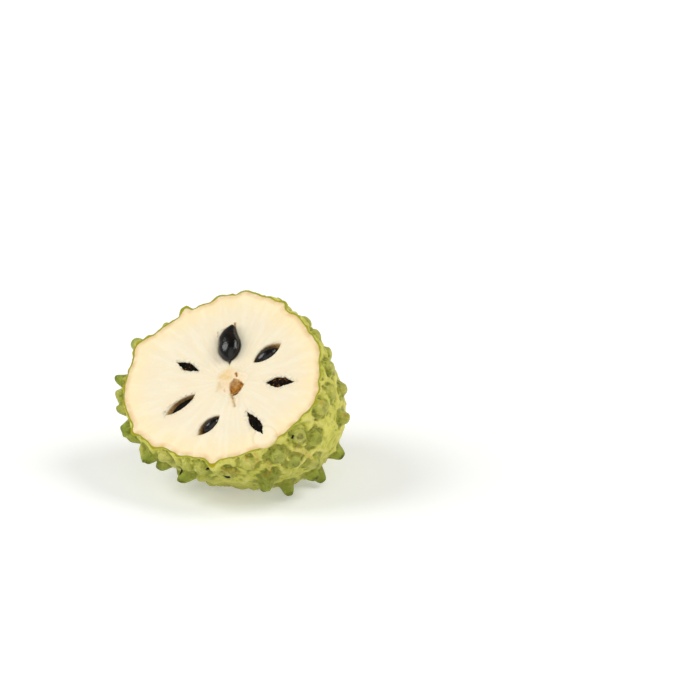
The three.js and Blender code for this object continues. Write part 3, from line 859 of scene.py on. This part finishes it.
PALE_FIBRE = linear(255, 248, 232)
DEEP_FIBRE = linear(246, 222, 180)
SKIN_GREEN = linear(206, 192, 96)
HEART_TAN = linear(240, 208, 146)
HEART_BROWN = linear(142, 92, 30)
# painted shade round the pockets, and the largest seed's painted shadow
POCKET_SHADE_GREY = linear(150, 148, 130)
LOBE_CREAM = linear(255, 243, 222)
WALL_BROWN = linear(136, 106, 60)


class FleshSettings(bpy.types.PropertyGroup):
    fibre: length("Fibres", "Height of the fibres that run out from the core", 0.09, 0.5)
    cream: colour("Pulp", "Pulp near the core", linear(242, 229, 198))
    outer: colour("Outer pulp", "Pulp towards the skin", linear(250, 230, 184))
    band: colour("Band", "The pinkish band under the skin", linear(233, 194, 140))
    lining: colour("Lining", "The brown skin that lines a pocket", linear(180, 144, 90))


def turned(points, degrees, at=(0, 0)):
    turn = math.radians(degrees)
    x, y = points[..., 0], points[..., 1]
    out = [x * math.cos(turn) - y * math.sin(turn) + at[0], x * math.sin(turn) + y * math.cos(turn) + at[1]]
    return np.stack(out, -1)


def stroke_far(points, start, end):
    """How far each point of the cut face is from a straight stroke on it."""
    start, end = np.array(start), np.array(end)
    run = end - start
    along = np.clip(((points - start) @ run) / (run @ run), 0, 1)
    return np.linalg.norm(points - start - along[:, None] * run, axis=1)


def heart(points):
    """Height, tan and brown of the cut face around its core."""
    height, tan, brown = np.zeros((3, len(points)))
    frayed = points + FRAY[0] * np.stack([grain(to_3d(points) + k, FRAY[1]) for k in (0, 9)], 1)
    for start, end, width, rise, tans, browns in HEART_STROKES:
        share = bell(stroke_far(frayed, start, end), width, 2.4)
        height += rise * share
        tan = np.maximum(tan, tans * share)
        brown = np.maximum(brown, browns * share)
    far = np.linalg.norm(points - np.array(CORE["at"]), axis=1)
    tan = np.maximum(tan, 0.55 * bell(far, 7.5, 2.5))
    sunk = inside_pit(frayed)
    height -= PIT_DEPTH * smooth(sunk, -0.1, 1.6)
    # the pit is brown, and painted darker towards its lower right: painted shade
    shaded = 0.7 + 0.3 * smooth(points[:, 1] - 0.5 * points[:, 0], -5.5, -9)
    return height, tan, np.maximum(brown, shaded * smooth(sunk, -0.25, 0.35))


def inside_pit(points):
    """How far inside the pit's outline each point lies."""
    corners = np.array(PIT)
    runs = np.roll(corners, -1, 0) - corners
    away = points[:, None] - corners
    across = away[..., 0] * runs[:, 1] - away[..., 1] * runs[:, 0]
    return (across / np.linalg.norm(runs, axis=1)).min(1)


def to_3d(points, z=0.0):
    return np.column_stack([points, np.full(len(points), z)])


def core_reach(angle):
    """The core's radius: round, with a few waves."""
    reach = 1 + 0.13 * np.sin(3 * angle + 1) + 0.07 * np.sin(5 * angle) + 0.02 * np.sin(11 * angle)
    return CORE["radius"] * reach


def knife(seed):
    return CUT if seed["cut"] else WHOLE


def almond(u, seed, fullness):
    """Half width of a seed or pocket, over its greatest, from -1 at the inner end to 1 at the outer."""
    belly, thorn = seed["belly"], seed["thorn"]
    v = np.where(u > belly, (u - belly) / (1 - belly), (belly - u) / (belly + 1 - thorn))
    spread = np.clip(1 - v ** fullness, 0, 1) ** knife(seed)["taper"]
    return np.maximum(spread, thorn * THORN_WIDTH * smooth(u, -1, thorn - 0.9) * smooth(u, 0, -0.2))


def bowed(u, seed):
    """How far the middle line of a seed or pocket bends to its left."""
    return seed["bow"] * (1 - u ** 2) + seed["shoulder"] * smooth(u, 0, 0.5) * smooth(u, 1, 0.6)


def pocket_outline(number, seed):
    """A pocket's mouth on the cut face: a pointed oval with a torn edge."""
    turn = around(POCKET_SIDES)
    u, side = np.cos(turn), np.sign(np.sin(turn))
    spread = almond(u, seed, knife(seed)["mouth"])
    torn = grain(np.stack([u * 3 + number * 7, side, 0 * u], 1), 0.5, 4) * knife(seed)["torn"]
    at, barbed, tall = seed["barb"]
    barb = tall * bell(np.abs(u - at), BARB_WIDTH, 1) * (side == barbed)
    long, wide = seed["mouth"]
    v = side * (spread * wide / 2 + torn * np.minimum(1, 2.5 * spread) + barb)
    return np.stack([u * long / 2, v + bowed(u, seed)], 1)


def inside_loop(points, loop):
    """Which points lie inside a closed loop, by counting crossings."""
    x, y = points[:, 0][:, None], points[:, 1][:, None]
    ax, ay = loop[:, 0], loop[:, 1]
    bx, by = np.roll(ax, -1), np.roll(ay, -1)
    cross = (ay > y) != (by > y)
    with np.errstate(divide="ignore", invalid="ignore"):
        at = ax + (y - ay) * (bx - ax) / (by - ay)
    return (cross & (x < at)).sum(1) % 2 == 1


def nearest_far(points, loop, size=4000):
    parts = [points[k:k + size, None] for k in range(0, len(points), size)]
    return np.concatenate([np.linalg.norm(part - loop[None], axis=2).min(1) for part in parts])


def lobe_far(points):
    """0 at the middle of the loose lobe of pulp, 1 on its outline."""
    local = turned(points - np.array(LOBE["at"]), -LOBE["turn"])
    return np.hypot(local[:, 0] / LOBE["size"][0], local[:, 1] / LOBE["size"][1])


def flesh_outline(rim):
    """The flesh's edge at the cut: tucked under the skin, and pushed out over it by the lobe."""
    reach = np.hypot(rim.inside[:, 0], rim.inside[:, 1])
    way = rim.inside[:, :2] / reach[:, None]
    tucked = reach + TUCK
    trial = tucked[:, None] + np.linspace(0, 5, 51)
    spots = way[:, None] * trial[..., None]
    held = (lobe_far(spots.reshape(-1, 2)) < 1).reshape(trial.shape)
    pushed = np.where(held.any(1), np.where(held, trial, 0).max(1), tucked)
    pushed = rolling(pushed, 2, lambda s: np.mean(s, 0))
    return way * np.maximum(pushed, tucked)[:, None], np.maximum(pushed - tucked, 0), way, reach


class Face:
    """The cut face: its loops, its corners and what each corner is."""

    def __init__(self, settings, rim):
        self.edge, self.overhang, self.way, self.reach = flesh_outline(rim)
        self.pockets = [turned(pocket_outline(k, s), s["turn"], s["at"]) for k, s in enumerate(SEEDS)]
        angle = around(SOCKET_SIDES)
        self.socket = core_reach(angle)[:, None] * spokes(angle) + np.array(CORE["at"])
        self.fibre = settings.fibre / MM
        self.holes = self.pockets + [self.socket]

    def corners(self):
        """The corners on the loops, the free ones between them, and the loops."""
        loops = [self.edge] + self.holes
        fixed = np.concatenate(loops)
        lips = [loop + 0.4 * outwards(loop) for loop in self.pockets]
        reach = 1.05 * np.linalg.norm(self.edge, axis=1).max()
        count = int(math.pi * (reach / GRAIN) ** 2 * 1.15)
        k = np.arange(count) + 0.5
        spiral = reach * np.sqrt(k / count)[:, None] * spokes(k * GOLDEN_ANGLE)
        free = np.concatenate(lips + [spiral])
        keep = inside_loop(free, self.edge)
        for loop in self.holes:
            keep &= ~inside_loop(free, loop)
        free = free[keep]
        free = free[nearest_far(free, fixed) > 0.3]
        return fixed, free, loops

    def shape(self, points):
        """Corners of the cut face lifted to its relief, with the shares that the finish reads."""
        rim_far = nearest_far(points, self.edge)
        out = points - np.array(CORE["at"])
        far = np.linalg.norm(out, axis=1)
        way = out / np.maximum(far, 1e-6)[:, None]
        streak = grain(np.column_stack([way * STREAKS, far / STREAKS]), 1.0, 4)
        height, tan, brown = heart(points)
        z = self.fibre * streak * smooth(far, 4, 16) + WAVES[0] * grain(to_3d(points), WAVES[1]) - SETTLE
        z += height * smooth(rim_far, 0, 2)
        z -= MOUTH_ROLL[0] * bell(nearest_far(points, np.concatenate(self.pockets)), MOUTH_ROLL[1])
        z -= RIM_ROLL[0] * bell(rim_far, RIM_ROLL[1])
        ball = np.clip(1 - lobe_far(points) ** 2, 0, 1)
        lift = LOBE["rise"] + LOBE["size"][2] * np.sqrt(np.sqrt(ball))
        over = smooth(ball, 0, 0.06)
        z = z * (1 - over) + lift * over
        z = np.where((ball <= 0) & (rim_far < 0.2) & (lobe_far(points) < 1.08), np.maximum(z, 0.1), z)
        shares = dict(
            rim=rim_far, streak=streak * 0.5 + 0.5, tan=tan, brown=brown, lobe=smooth(ball, 0, 0.5),
            # painted shade round the pockets, and the largest seed's painted shadow
            smudge=np.maximum(self.cut_pocket_shade(points), self.shade(points)),
        )
        return np.column_stack([points, z]), shares

    def cut_pocket_shade(self, points):
        """Painted shade round the pockets of the seeds that the knife met, and of the dull one."""
        met = [loop for loop, seed in zip(self.pockets, SEEDS) if seed["cut"] or seed["dull"]]
        near = bell(nearest_far(points, np.concatenate(met)), 1.3, 1.5)
        return near * smooth(grain(to_3d(points), 1.2), -0.2, 0.7)

    def shade(self, points):
        """Painted shadow of the largest seed on the pulp round it, stronger on its right."""
        loop = self.pockets[0]
        right = smooth(points[:, 0] - loop[:, 0].mean(), -7, 7)
        shade = bell(nearest_far(points, loop), 3.2, 1.3) * (0.6 + 0.5 * right)
        return shade * smooth(np.abs(points[:, 1] - loop[:, 1].mean()), 13, 8)


def outwards(loop):
    run = np.roll(loop, -1, 0) - np.roll(loop, 1, 0)
    out = np.stack([run[:, 1], -run[:, 0]], 1)
    return out / np.maximum(np.linalg.norm(out, axis=1), 1e-9)[:, None]


def fill(loops, free):
    """Triangles between the outer loop and the holes, through the free points."""
    points = np.concatenate(loops + [free])
    edges = []
    start = 0
    for loop in loops:
        edges += [(start + k, start + (k + 1) % len(loop)) for k in range(len(loop))]
        start += len(loop)
    found = delaunay_2d_cdt([Vector(p) for p in points], edges, [], 0, 1e-9)
    source = [ids[0] if ids else -1 for ids in found[3]]
    faces = np.array([[source[i] for i in face] for face in found[2]])
    middle = points[faces].mean(1)
    keep = inside_loop(middle, loops[0])
    for loop in loops[1:]:
        keep &= ~inside_loop(middle, loop)
    return faces[keep & (faces >= 0).all(1)]


def flesh_net(settings, rim):
    face = Face(settings, rim)
    net = Net()
    fixed, free, loops = face.corners()
    points, shares = face.shape(np.concatenate([fixed, free]))
    corners = net.add(points, **shares)
    net.faces += [tuple(int(i) for i in f) for f in fill(loops, free)]
    ends = np.cumsum([len(loop) for loop in loops])
    edge, *holes = np.split(corners[:ends[-1]], ends[:-1])
    for k, (seed, ring) in enumerate(zip(SEEDS, holes)):
        pocket_walls(net, face.pockets[k], seed, ring, points[ring, 2])
    socket_walls(net, face.socket, holes[-1])
    under_rings(net, face, edge, points[edge, 2])
    return net


def pocket_walls(net, outline, seed, mouth, level):
    rings = [mouth]
    middle = np.array(seed["at"])
    turn = math.radians(seed["turn"])
    way = np.array([math.cos(turn), math.sin(turn)])
    outer = smooth((outline - middle) @ way, -2, seed["mouth"][0] / 2)[:, None]
    for depth in WALL_DEPTHS:
        share = (1 - (depth / POCKET_DEPTH) ** 3) ** (1 / 3)
        ring = middle + (outline - middle) * share
        ring = ring - way * (outer * min(depth, 3) * seed["slope"])
        ragged = 0.12 * grain(to_3d(ring, depth), 0.9)
        ring = ring + outwards(outline) * ragged[:, None]
        z = np.minimum(level - 0.25, -depth)
        lined = seed["lining"] * smooth(depth + 0.5 * ragged, 0.5, 1.4)
        rings.append(net.add(np.column_stack([ring, z]), lining=lined, rim=FAR_INSIDE, streak=0.5))
    rings.append(net.add([[*middle, -POCKET_DEPTH]], lining=seed["lining"], rim=FAR_INSIDE))
    net.join(rings)


def socket_walls(net, outline, mouth):
    middle = np.array(CORE["at"])
    rings = [mouth]
    for across, depth in SOCKET_RINGS:
        ring = middle + (outline - middle) * across
        rings.append(net.add(to_3d(ring, -depth), rim=FAR_INSIDE, tan=1.0))
    rings.append(net.add([[*middle, -CORE["depth"] - 0.8]], rim=FAR_INSIDE))
    net.join(rings)


def under_rings(net, face, edge, level):
    """The flesh's hidden side: under the lobe's overhang, down behind the skin and round below."""
    rings = [edge]
    over = smooth(face.overhang, 0.1, 0.6)
    reach = np.linalg.norm(face.edge, axis=1)
    tucked = face.reach - 0.15
    for share, z in ((0.15, 0.09), (1, 0.07)):
        ring = face.way * (reach + (tucked - reach) * share)[:, None]
        height = np.where(over > 0.5, np.minimum(level - 0.05, z), -0.25 - 0.3 * share)
        rings.append(net.add(np.column_stack([ring, height])))
    rings.append(net.add(to_3d(face.way * (face.reach - 0.25)[:, None], -1.2)))
    rings.append(net.add(to_3d((face.way * (face.reach - 0.3)[:, None])[::2], -1.9)))
    for ring in even_rings(HIDDEN_ROW + 0.4, HIDDEN_ROW, COLUMNS // 4):
        rings.append(net.add(inner_skin(*ring, HIDDEN_SKIN + 0.5)))
    net.join(rings)


def flesh_finish(s):
    f = Finish("flesh_pulp", s.cream)
    rim, streak = f.share("rim"), f.share("streak")
    patch, fine = f.noise(5, 3), f.noise(0.8, 4)
    f.over(s.outer, f.span(rim, 16, 2))
    f.over(PALE_FIBRE, f.span(streak, 0.45, 0.75), 0.16)
    f.over(DEEP_FIBRE, f.span(streak, 0.5, 0.25), 0.17)
    f.over(s.band, f.span(rim, 3.6, 0.6), f.span(patch, 0.3, 0.65, 0.25, 0.95))
    f.over(SKIN_GREEN, f.span(rim, 0.9, 0.1), f.span(patch, 0.42, 0.6, 0.2, 0.9))
    f.over(HEART_TAN, f.share("tan"), f.span(fine, 0.3, 0.65, 0.5, 1))
    # the brown share also holds the painted shade in the pit
    f.over(HEART_BROWN, f.share("brown"), 0.9)
    # painted shade round the pockets, and the largest seed's painted shadow
    f.over(POCKET_SHADE_GREY, f.share("smudge"), 0.75)
    f.over(LOBE_CREAM, f.share("lobe"), 0.25)
    f.over(f.mix(f.span(fine, 0.35, 0.65), s.lining, WALL_BROWN), f.share("lining"))
    crumb = f.bump(f.noise(0.5, 3), 0.03)
    return f.finish(
        roughness=f.span(fine, 0.3, 0.7, 0.38, 0.55), normal=f.bump(f.noise(2.2, 4), 0.12, crumb),
        specular_ior_level=0.35, subsurface_weight=0.25,
        subsurface_radius=(1.0, 0.55, 0.25), subsurface_scale=2.5 * MM,
    )


class SOURSOP_OT_flesh(bpy.types.Operator):
    """Build the pulp, with its cut face, the seeds' pockets and the loose lobe"""

    bl_idname = "soursop.flesh"
    bl_label = "Flesh"

    def execute(self, context):
        settings = context.scene.soursop_flesh
        net = flesh_net(settings, Rim(context.scene.soursop_rind))
        net.piece("flesh_dressed", "flesh", flesh_finish(settings), crease=60)
        return {"FINISHED"}


# ---------------------------------------------------------------- core

CORE_SIDES = 96
CORE_RINGS = 25
CORE_WALL = ((1.05, 0.5), (1, 2.6), (0.8, 5.5), (0.45, 8))  # width over the top's, and depth
CORE_CREAM = linear(252, 236, 208)
CRUMB_CREAM = linear(250, 228, 190)
PIT_TAN = linear(204, 148, 58)


class CoreSettings(bpy.types.PropertyGroup):
    tan: colour("Fibres", "Dry fibres of the core", linear(240, 206, 140))
    pit: colour("Pit", "The brown pit in the core", linear(142, 84, 14))


def core_net():
    net = Net()
    rings = []
    middle = np.array(CORE["at"])
    angle = around(CORE_SIDES)
    way, reach = spokes(angle), core_reach(angle)
    for share in np.linspace(1, 0, CORE_RINGS + 1)[:-1]:
        points = middle + way * (reach * share)[:, None]
        height, tan, brown = heart(points)
        crumb = 0.12 * grain(to_3d(points), 1.1, 4) * smooth(1 - share, 0, 0.3)
        z = height + WAVES[0] * grain(to_3d(points), WAVES[1]) - SETTLE * share + crumb
        rings.append(net.add(np.column_stack([points, z]), tan=tan, brown=brown))
    height, tan, brown = heart(middle[None])
    rings.append(net.add([[*middle, height[0]]], tan=tan, brown=brown))
    net.join(rings)
    under = [rings[0]]
    for across, depth in CORE_WALL:
        under.append(net.add(to_3d(middle + way * (reach * across)[:, None], -depth), tan=1.0))
    under.append(net.add([[*middle, -CORE["depth"]]], tan=1.0))
    net.join(under)
    return net


def core_finish(s):
    f = Finish("core_fibre", CORE_CREAM)
    fine, strands = f.noise(0.7, 4, roughness=0.65), f.noise(1.6, 4)
    brown = f.share("brown")
    f.over(s.tan, f.share("tan"), f.span(strands, 0.3, 0.65, 0.55, 1))
    f.over(f.mix(f.span(strands, 0.35, 0.65), s.pit, PIT_TAN), brown)
    f.over(CRUMB_CREAM, f.span(fine, 0.6, 0.75), f.span(brown, 0.3, 0, 0, 0.3))
    return f.finish(
        roughness=f.span(fine, 0.3, 0.7, 0.5, 0.75), normal=f.bump(fine, 0.25), specular_ior_level=0.2,
        subsurface_weight=0.05, subsurface_radius=(1.0, 0.5, 0.2), subsurface_scale=1.0 * MM,
    )


class SOURSOP_OT_core(bpy.types.Operator):
    """Build the fibrous core with its brown pit"""

    bl_idname = "soursop.core"
    bl_label = "Core"

    def execute(self, context):
        core_net().piece("core_dressed", "core", core_finish(context.scene.soursop_core), crease=50)
        return {"FINISHED"}


# ---------------------------------------------------------------- seeds

SEED_SIDES = 64
SEED_RINGS = 90
KEEL = 0.05  # how far the seed's edges stand out as a keel
SEED_WRINKLE = 0.025
COAT_BROWN = linear(26, 18, 9)
KERNEL_BLACK = linear(7, 6, 4)
KERNEL_BROWN = linear(26, 18, 8)


class SeedSettings(bpy.types.PropertyGroup):
    coat: colour("Coat", "The seeds' glossy coat", linear(8, 7, 6))
    kernel: colour("Specks", "Specks where the knife met a seed", linear(184, 112, 34))
    gloss: amount("Roughness", "Roughness of the coat", 0.14)


def seed_net(number, seed):
    net = Net()
    rings = []
    long, wide, thick = seed["seed"]
    for station in range(SEED_RINGS + 1):
        u = -math.cos(math.pi * station / SEED_RINGS)
        spread = float(almond(np.array(u), seed, knife(seed)["seed"]))
        n = 1 if station in (0, SEED_RINGS) else SEED_SIDES
        phase = around(SEED_SIDES)[:n]
        keel = 1 + KEEL * np.cos(2 * phase) ** 8
        y = np.cos(phase) * wide / 2 * spread * keel + bowed(u, seed)
        points = np.column_stack([np.full(n, u * long / 2), y, np.sin(phase) * thick / 2 * spread])
        wrinkle = grain(np.column_stack([points[:, 0] / 4, points[:, 1:]]) + number * 11, 0.9, 4)
        points[:, 1:] *= (1 + SEED_WRINKLE * wrinkle)[:, None]
        flat = turned(points[:, :2] + [seed["shift"], 0], seed["turn"], seed["at"])
        z = points[:, 2] - seed["depth"]
        sliced = np.zeros(n)
        if seed["cut"]:
            crumb = grain(to_3d(flat) + number, 0.7, 4)
            level = -SEED_SINK - 0.35 + 0.5 * crumb
            sliced = (z > level) * smooth(np.abs(u), 0.7, 0.3)
            z = np.minimum(z, level)
        rings.append(net.add(np.column_stack([flat, z]), sliced=sliced))
    net.join(rings[1:])
    net.join([rings[1], rings[0]])
    return net


def coat_finish(s):
    f = Finish("seed_coat", s.coat)
    f.over(COAT_BROWN, f.span(f.noise(3, 3), 0.4, 0.7))
    rough = f.span(f.noise(0.5, 3), 0.3, 0.7, s.gloss * 0.7, s.gloss * 1.4)
    return f.finish(roughness=rough, normal=f.bump(f.noise(1.4, 3), 0.14), specular_ior_level=0.4)


def kernel_finish(s):
    f = Finish("seed_kernel", KERNEL_BLACK)
    fine = f.noise(0.5, 3)
    f.over(KERNEL_BROWN, f.span(f.noise(3, 3), 0.4, 0.7))
    f.over(s.kernel, f.share("sliced"), f.span(f.noise(1.1, 2), 0.63, 0.7), 0.8)
    rough = f.span(fine, 0.3, 0.7, 0.45, 0.7)
    return f.finish(roughness=rough, normal=f.bump(fine, 0.12), specular_ior_level=0.06)


class SOURSOP_OT_seeds(bpy.types.Operator):
    """Build the black seeds, whole and cut, in their pockets"""

    bl_idname = "soursop.seeds"
    bl_label = "Seeds"

    def execute(self, context):
        settings = context.scene.soursop_seeds
        whole, sliced = coat_finish(settings), kernel_finish(settings)
        for number, seed in enumerate(SEEDS, 1):
            finish = sliced if seed["cut"] or seed["dull"] else whole
            seed_net(number, seed).piece(f"seed_{number}_dressed", "seed", finish)
        return {"FINISHED"}


# ---------------------------------------------------------------- stalk

STALK_SIDES = 64
STALK_BARK = (  # width over the stalk's, and how far along it, down to the broken end
    (1.15, 0), (1.08, 0.15), (1, 0.3), (0.96, 0.5), (0.95, 0.7), (1.02, 0.82), (1.1, 0.92), (1, 0.985),
)
STALK_ROOT = 4  # how far it reaches up into the fruit from the dimple
WOOD_BROWN = linear(120, 90, 54)
BARK_BROWN = linear(70, 50, 30)


class StalkSettings(bpy.types.PropertyGroup):
    bark: colour("Bark", "Dry bark of the stalk's stub", linear(104, 78, 48))
    wood: colour("Wood", "Broken end of the stalk", linear(160, 128, 84))


def stalk_net():
    net = Net()
    middle = STEM_END[:2]
    way = spokes(around(STALK_SIDES))
    top = STEM_END[2] + STEM_DIMPLE[0] + STALK_ROOT
    rings = []
    for across, along in STALK_BARK:
        rough = grain(np.column_stack([way * 4, np.full(STALK_SIDES, along * 2)]), 1.0, 4)
        ring = middle + way * STALK["radius"] * across + way * (0.16 * rough)[:, None]
        rings.append(net.add(to_3d(ring, top - along * STALK["length"]), bark=1))
    for across in (0.75, 0.4):
        ring = middle + way * STALK["radius"] * across
        level = top - STALK["length"] * 0.99 + 0.3 * grain(to_3d(ring), 0.8)
        rings.append(net.add(np.column_stack([ring, level])))
    rings.append(net.add([[*middle, top - STALK["length"] * 0.98]]))
    net.join(rings)
    net.join([rings[0], net.add([[*middle, top]], bark=1)])
    return net


def stalk_finish(s):
    f = Finish("stalk_bark", s.wood)
    fine, cork = f.noise(0.6, 4), f.noise(2, 4, distortion=1)
    f.over(WOOD_BROWN, f.span(fine, 0.4, 0.6))
    f.over(f.mix(f.span(cork, 0.35, 0.65), s.bark, BARK_BROWN), f.share("bark"))
    return f.finish(roughness=f.span(fine, 0.3, 0.7, 0.7, 0.9), normal=f.bump(cork, 0.3))


class SOURSOP_OT_stalk(bpy.types.Operator):
    """Build the woody stub of the stalk in the dimple of the stem end"""

    bl_idname = "soursop.stalk"
    bl_label = "Stalk"

    def execute(self, context):
        stalk_net().piece("stalk_dressed", "stalk", stalk_finish(context.scene.soursop_stalk))
        return {"FINISHED"}


# ---------------------------------------------------------------- stage


class StageSettings(bpy.types.PropertyGroup):
    floor: colour("Floor", "The pale floor", linear(230, 230, 227))
    glow: strength("Floor glow", "Light that the floor gives off itself", 0.3)
    key: strength("Key light", "Strength of the light from behind on the left", 1.5)
    side: strength("Side light", "Strength of the light from the right", 1.2)
    fill: strength("Fill light", "Strength of the light from the front", 0.55)
    sky: strength("Sky", "Strength of the light from all sides", 0.55)


FLOOR_SIZE = 6.0
FLOOR_SQUARES = 24
FLOOR_DROP = 0.0002  # keeps the floor just clear of the fruit
FLOOR_SHADE = linear(227, 228, 225)
SUNS = (  # how far each one's light is spread, in degrees, and the way it shines
    ("key", 34, (0.7, 0.08, -0.7)),
    ("side", 30, (-0.66, -0.02, -0.75)),
    ("fill", 60, (-0.1, 0.8, -0.6)),
)
SKY_TOP = 0.2  # how bright the sky is overhead, as a share of its foot
HORIZON = 1.05  # how bright the white haze along the horizon is
HAZE_TOP = 0.12  # where it ends
CAMERA_OFFSET = Vector((63.37, -771.3, 295.94)) * MM  # from the middle of the cut face
CAMERA_PITCH = math.radians(70)
LENS = 85


def make_floor(settings):
    steps = np.linspace(-FLOOR_SIZE / 2, FLOOR_SIZE / 2, FLOOR_SQUARES + 1)
    points = [(x, y, -FLOOR_DROP) for y in steps for x in steps]
    row = len(steps)
    corners = [j * row + i for j in range(FLOOR_SQUARES) for i in range(FLOOR_SQUARES)]
    mesh = bpy.data.meshes.new("floor")
    mesh.from_pydata(points, [], [(k, k + 1, k + row + 1, k + row) for k in corners])
    f = Finish("floor_paper", settings.floor)
    f.over(FLOOR_SHADE, f.span(f.noise(300, 2, at=f.node("TexCoord", {}, "Object")), 0.3, 0.7))
    paper = f.finish(
        roughness=0.8, specular_ior_level=0.1, emission_color=(1, 1, 1), emission_strength=settings.glow,
    )
    mesh.materials.append(paper)
    floor = bpy.data.objects.new("floor", mesh)
    bpy.context.scene.collection.objects.link(floor)


def make_sun(name, power, spread, towards):
    light = bpy.data.lights.new(name, "SUN")
    light.energy = power
    light.angle = math.radians(spread)
    holder = bpy.data.objects.new(name, light)
    bpy.context.scene.collection.objects.link(holder)
    holder.rotation_euler = Vector(towards).to_track_quat("-Z", "Y").to_euler()


def make_sky(settings):
    """White light from all sides, weaker overhead, over a bright haze along the horizon."""
    world = bpy.data.worlds.new("studio")
    world.use_nodes = True
    background = world.node_tree.nodes["Background"]
    sky = Nodes(world.node_tree)
    height = sky.node("SeparateXYZ", {0: sky.node("TexCoord", {}, "Generated")}, "Z")
    fade = {"Value": height, "To Min": settings.sky, "To Max": settings.sky * SKY_TOP}
    haze = {"Value": height, "From Max": HAZE_TOP, "To Min": HORIZON - settings.sky, "To Max": 0}
    both = sky.math("ADD", sky.node("MapRange", fade), sky.node("MapRange", haze))
    sky.feed(background.inputs["Color"], (1, 1, 1))
    sky.feed(background.inputs["Strength"], both)
    bpy.context.scene.world = world


def make_camera():
    lens = bpy.data.cameras.new("camera")
    lens.lens = LENS
    camera = bpy.data.objects.new("camera", lens)
    camera.location = Vector(FACE_CENTRE) * MM + CAMERA_OFFSET
    camera.rotation_euler = (CAMERA_PITCH, 0, 0)
    bpy.context.scene.collection.objects.link(camera)
    bpy.context.scene.camera = camera


class SOURSOP_OT_stage(bpy.types.Operator):
    """Set the pale floor, the soft lights and the camera"""

    bl_idname = "soursop.stage"
    bl_label = "Stage"

    def execute(self, context):
        settings = context.scene.soursop_stage
        make_floor(settings)
        for name, spread, towards in SUNS:
            make_sun(name, getattr(settings, name), spread, towards)
        make_sky(settings)
        make_camera()
        context.scene.view_settings.view_transform = "Standard"
        context.scene.view_settings.look = "None"
        return {"FINISHED"}


# ---------------------------------------------------------------- panel and run

SETTINGS = {
    "soursop_rind": RindSettings,
    "soursop_flesh": FleshSettings,
    "soursop_core": CoreSettings,
    "soursop_seeds": SeedSettings,
    "soursop_stalk": StalkSettings,
    "soursop_stage": StageSettings,
}
OPERATORS = (
    SOURSOP_OT_rind, SOURSOP_OT_flesh, SOURSOP_OT_core, SOURSOP_OT_seeds, SOURSOP_OT_stalk, SOURSOP_OT_stage,
)


class SOURSOP_PT_panel(bpy.types.Panel):
    """The pieces of the fruit and its stage"""

    bl_idname = "SOURSOP_PT_panel"
    bl_label = "Soursop"
    bl_space_type = "VIEW_3D"
    bl_region_type = "UI"
    bl_category = "Soursop"

    def draw(self, context):
        for (group, kind), operator in zip(SETTINGS.items(), OPERATORS):
            box = self.layout.box()
            for key in kind.__annotations__:
                box.prop(getattr(context.scene, group), key)
            box.operator(operator.bl_idname)


def register():
    for kind in (*SETTINGS.values(), *OPERATORS, SOURSOP_PT_panel):
        bpy.utils.register_class(kind)
    for name, kind in SETTINGS.items():
        setattr(bpy.types.Scene, name, PointerProperty(type=kind))


def unregister():
    for name in SETTINGS:
        delattr(bpy.types.Scene, name)
    for kind in reversed((*SETTINGS.values(), *OPERATORS, SOURSOP_PT_panel)):
        bpy.utils.unregister_class(kind)


def main():
    register()
    for name in ("stage", "rind", "flesh", "core", "seeds", "stalk"):
        getattr(bpy.ops.soursop, name)()


if __name__ == "__main__":
    main()
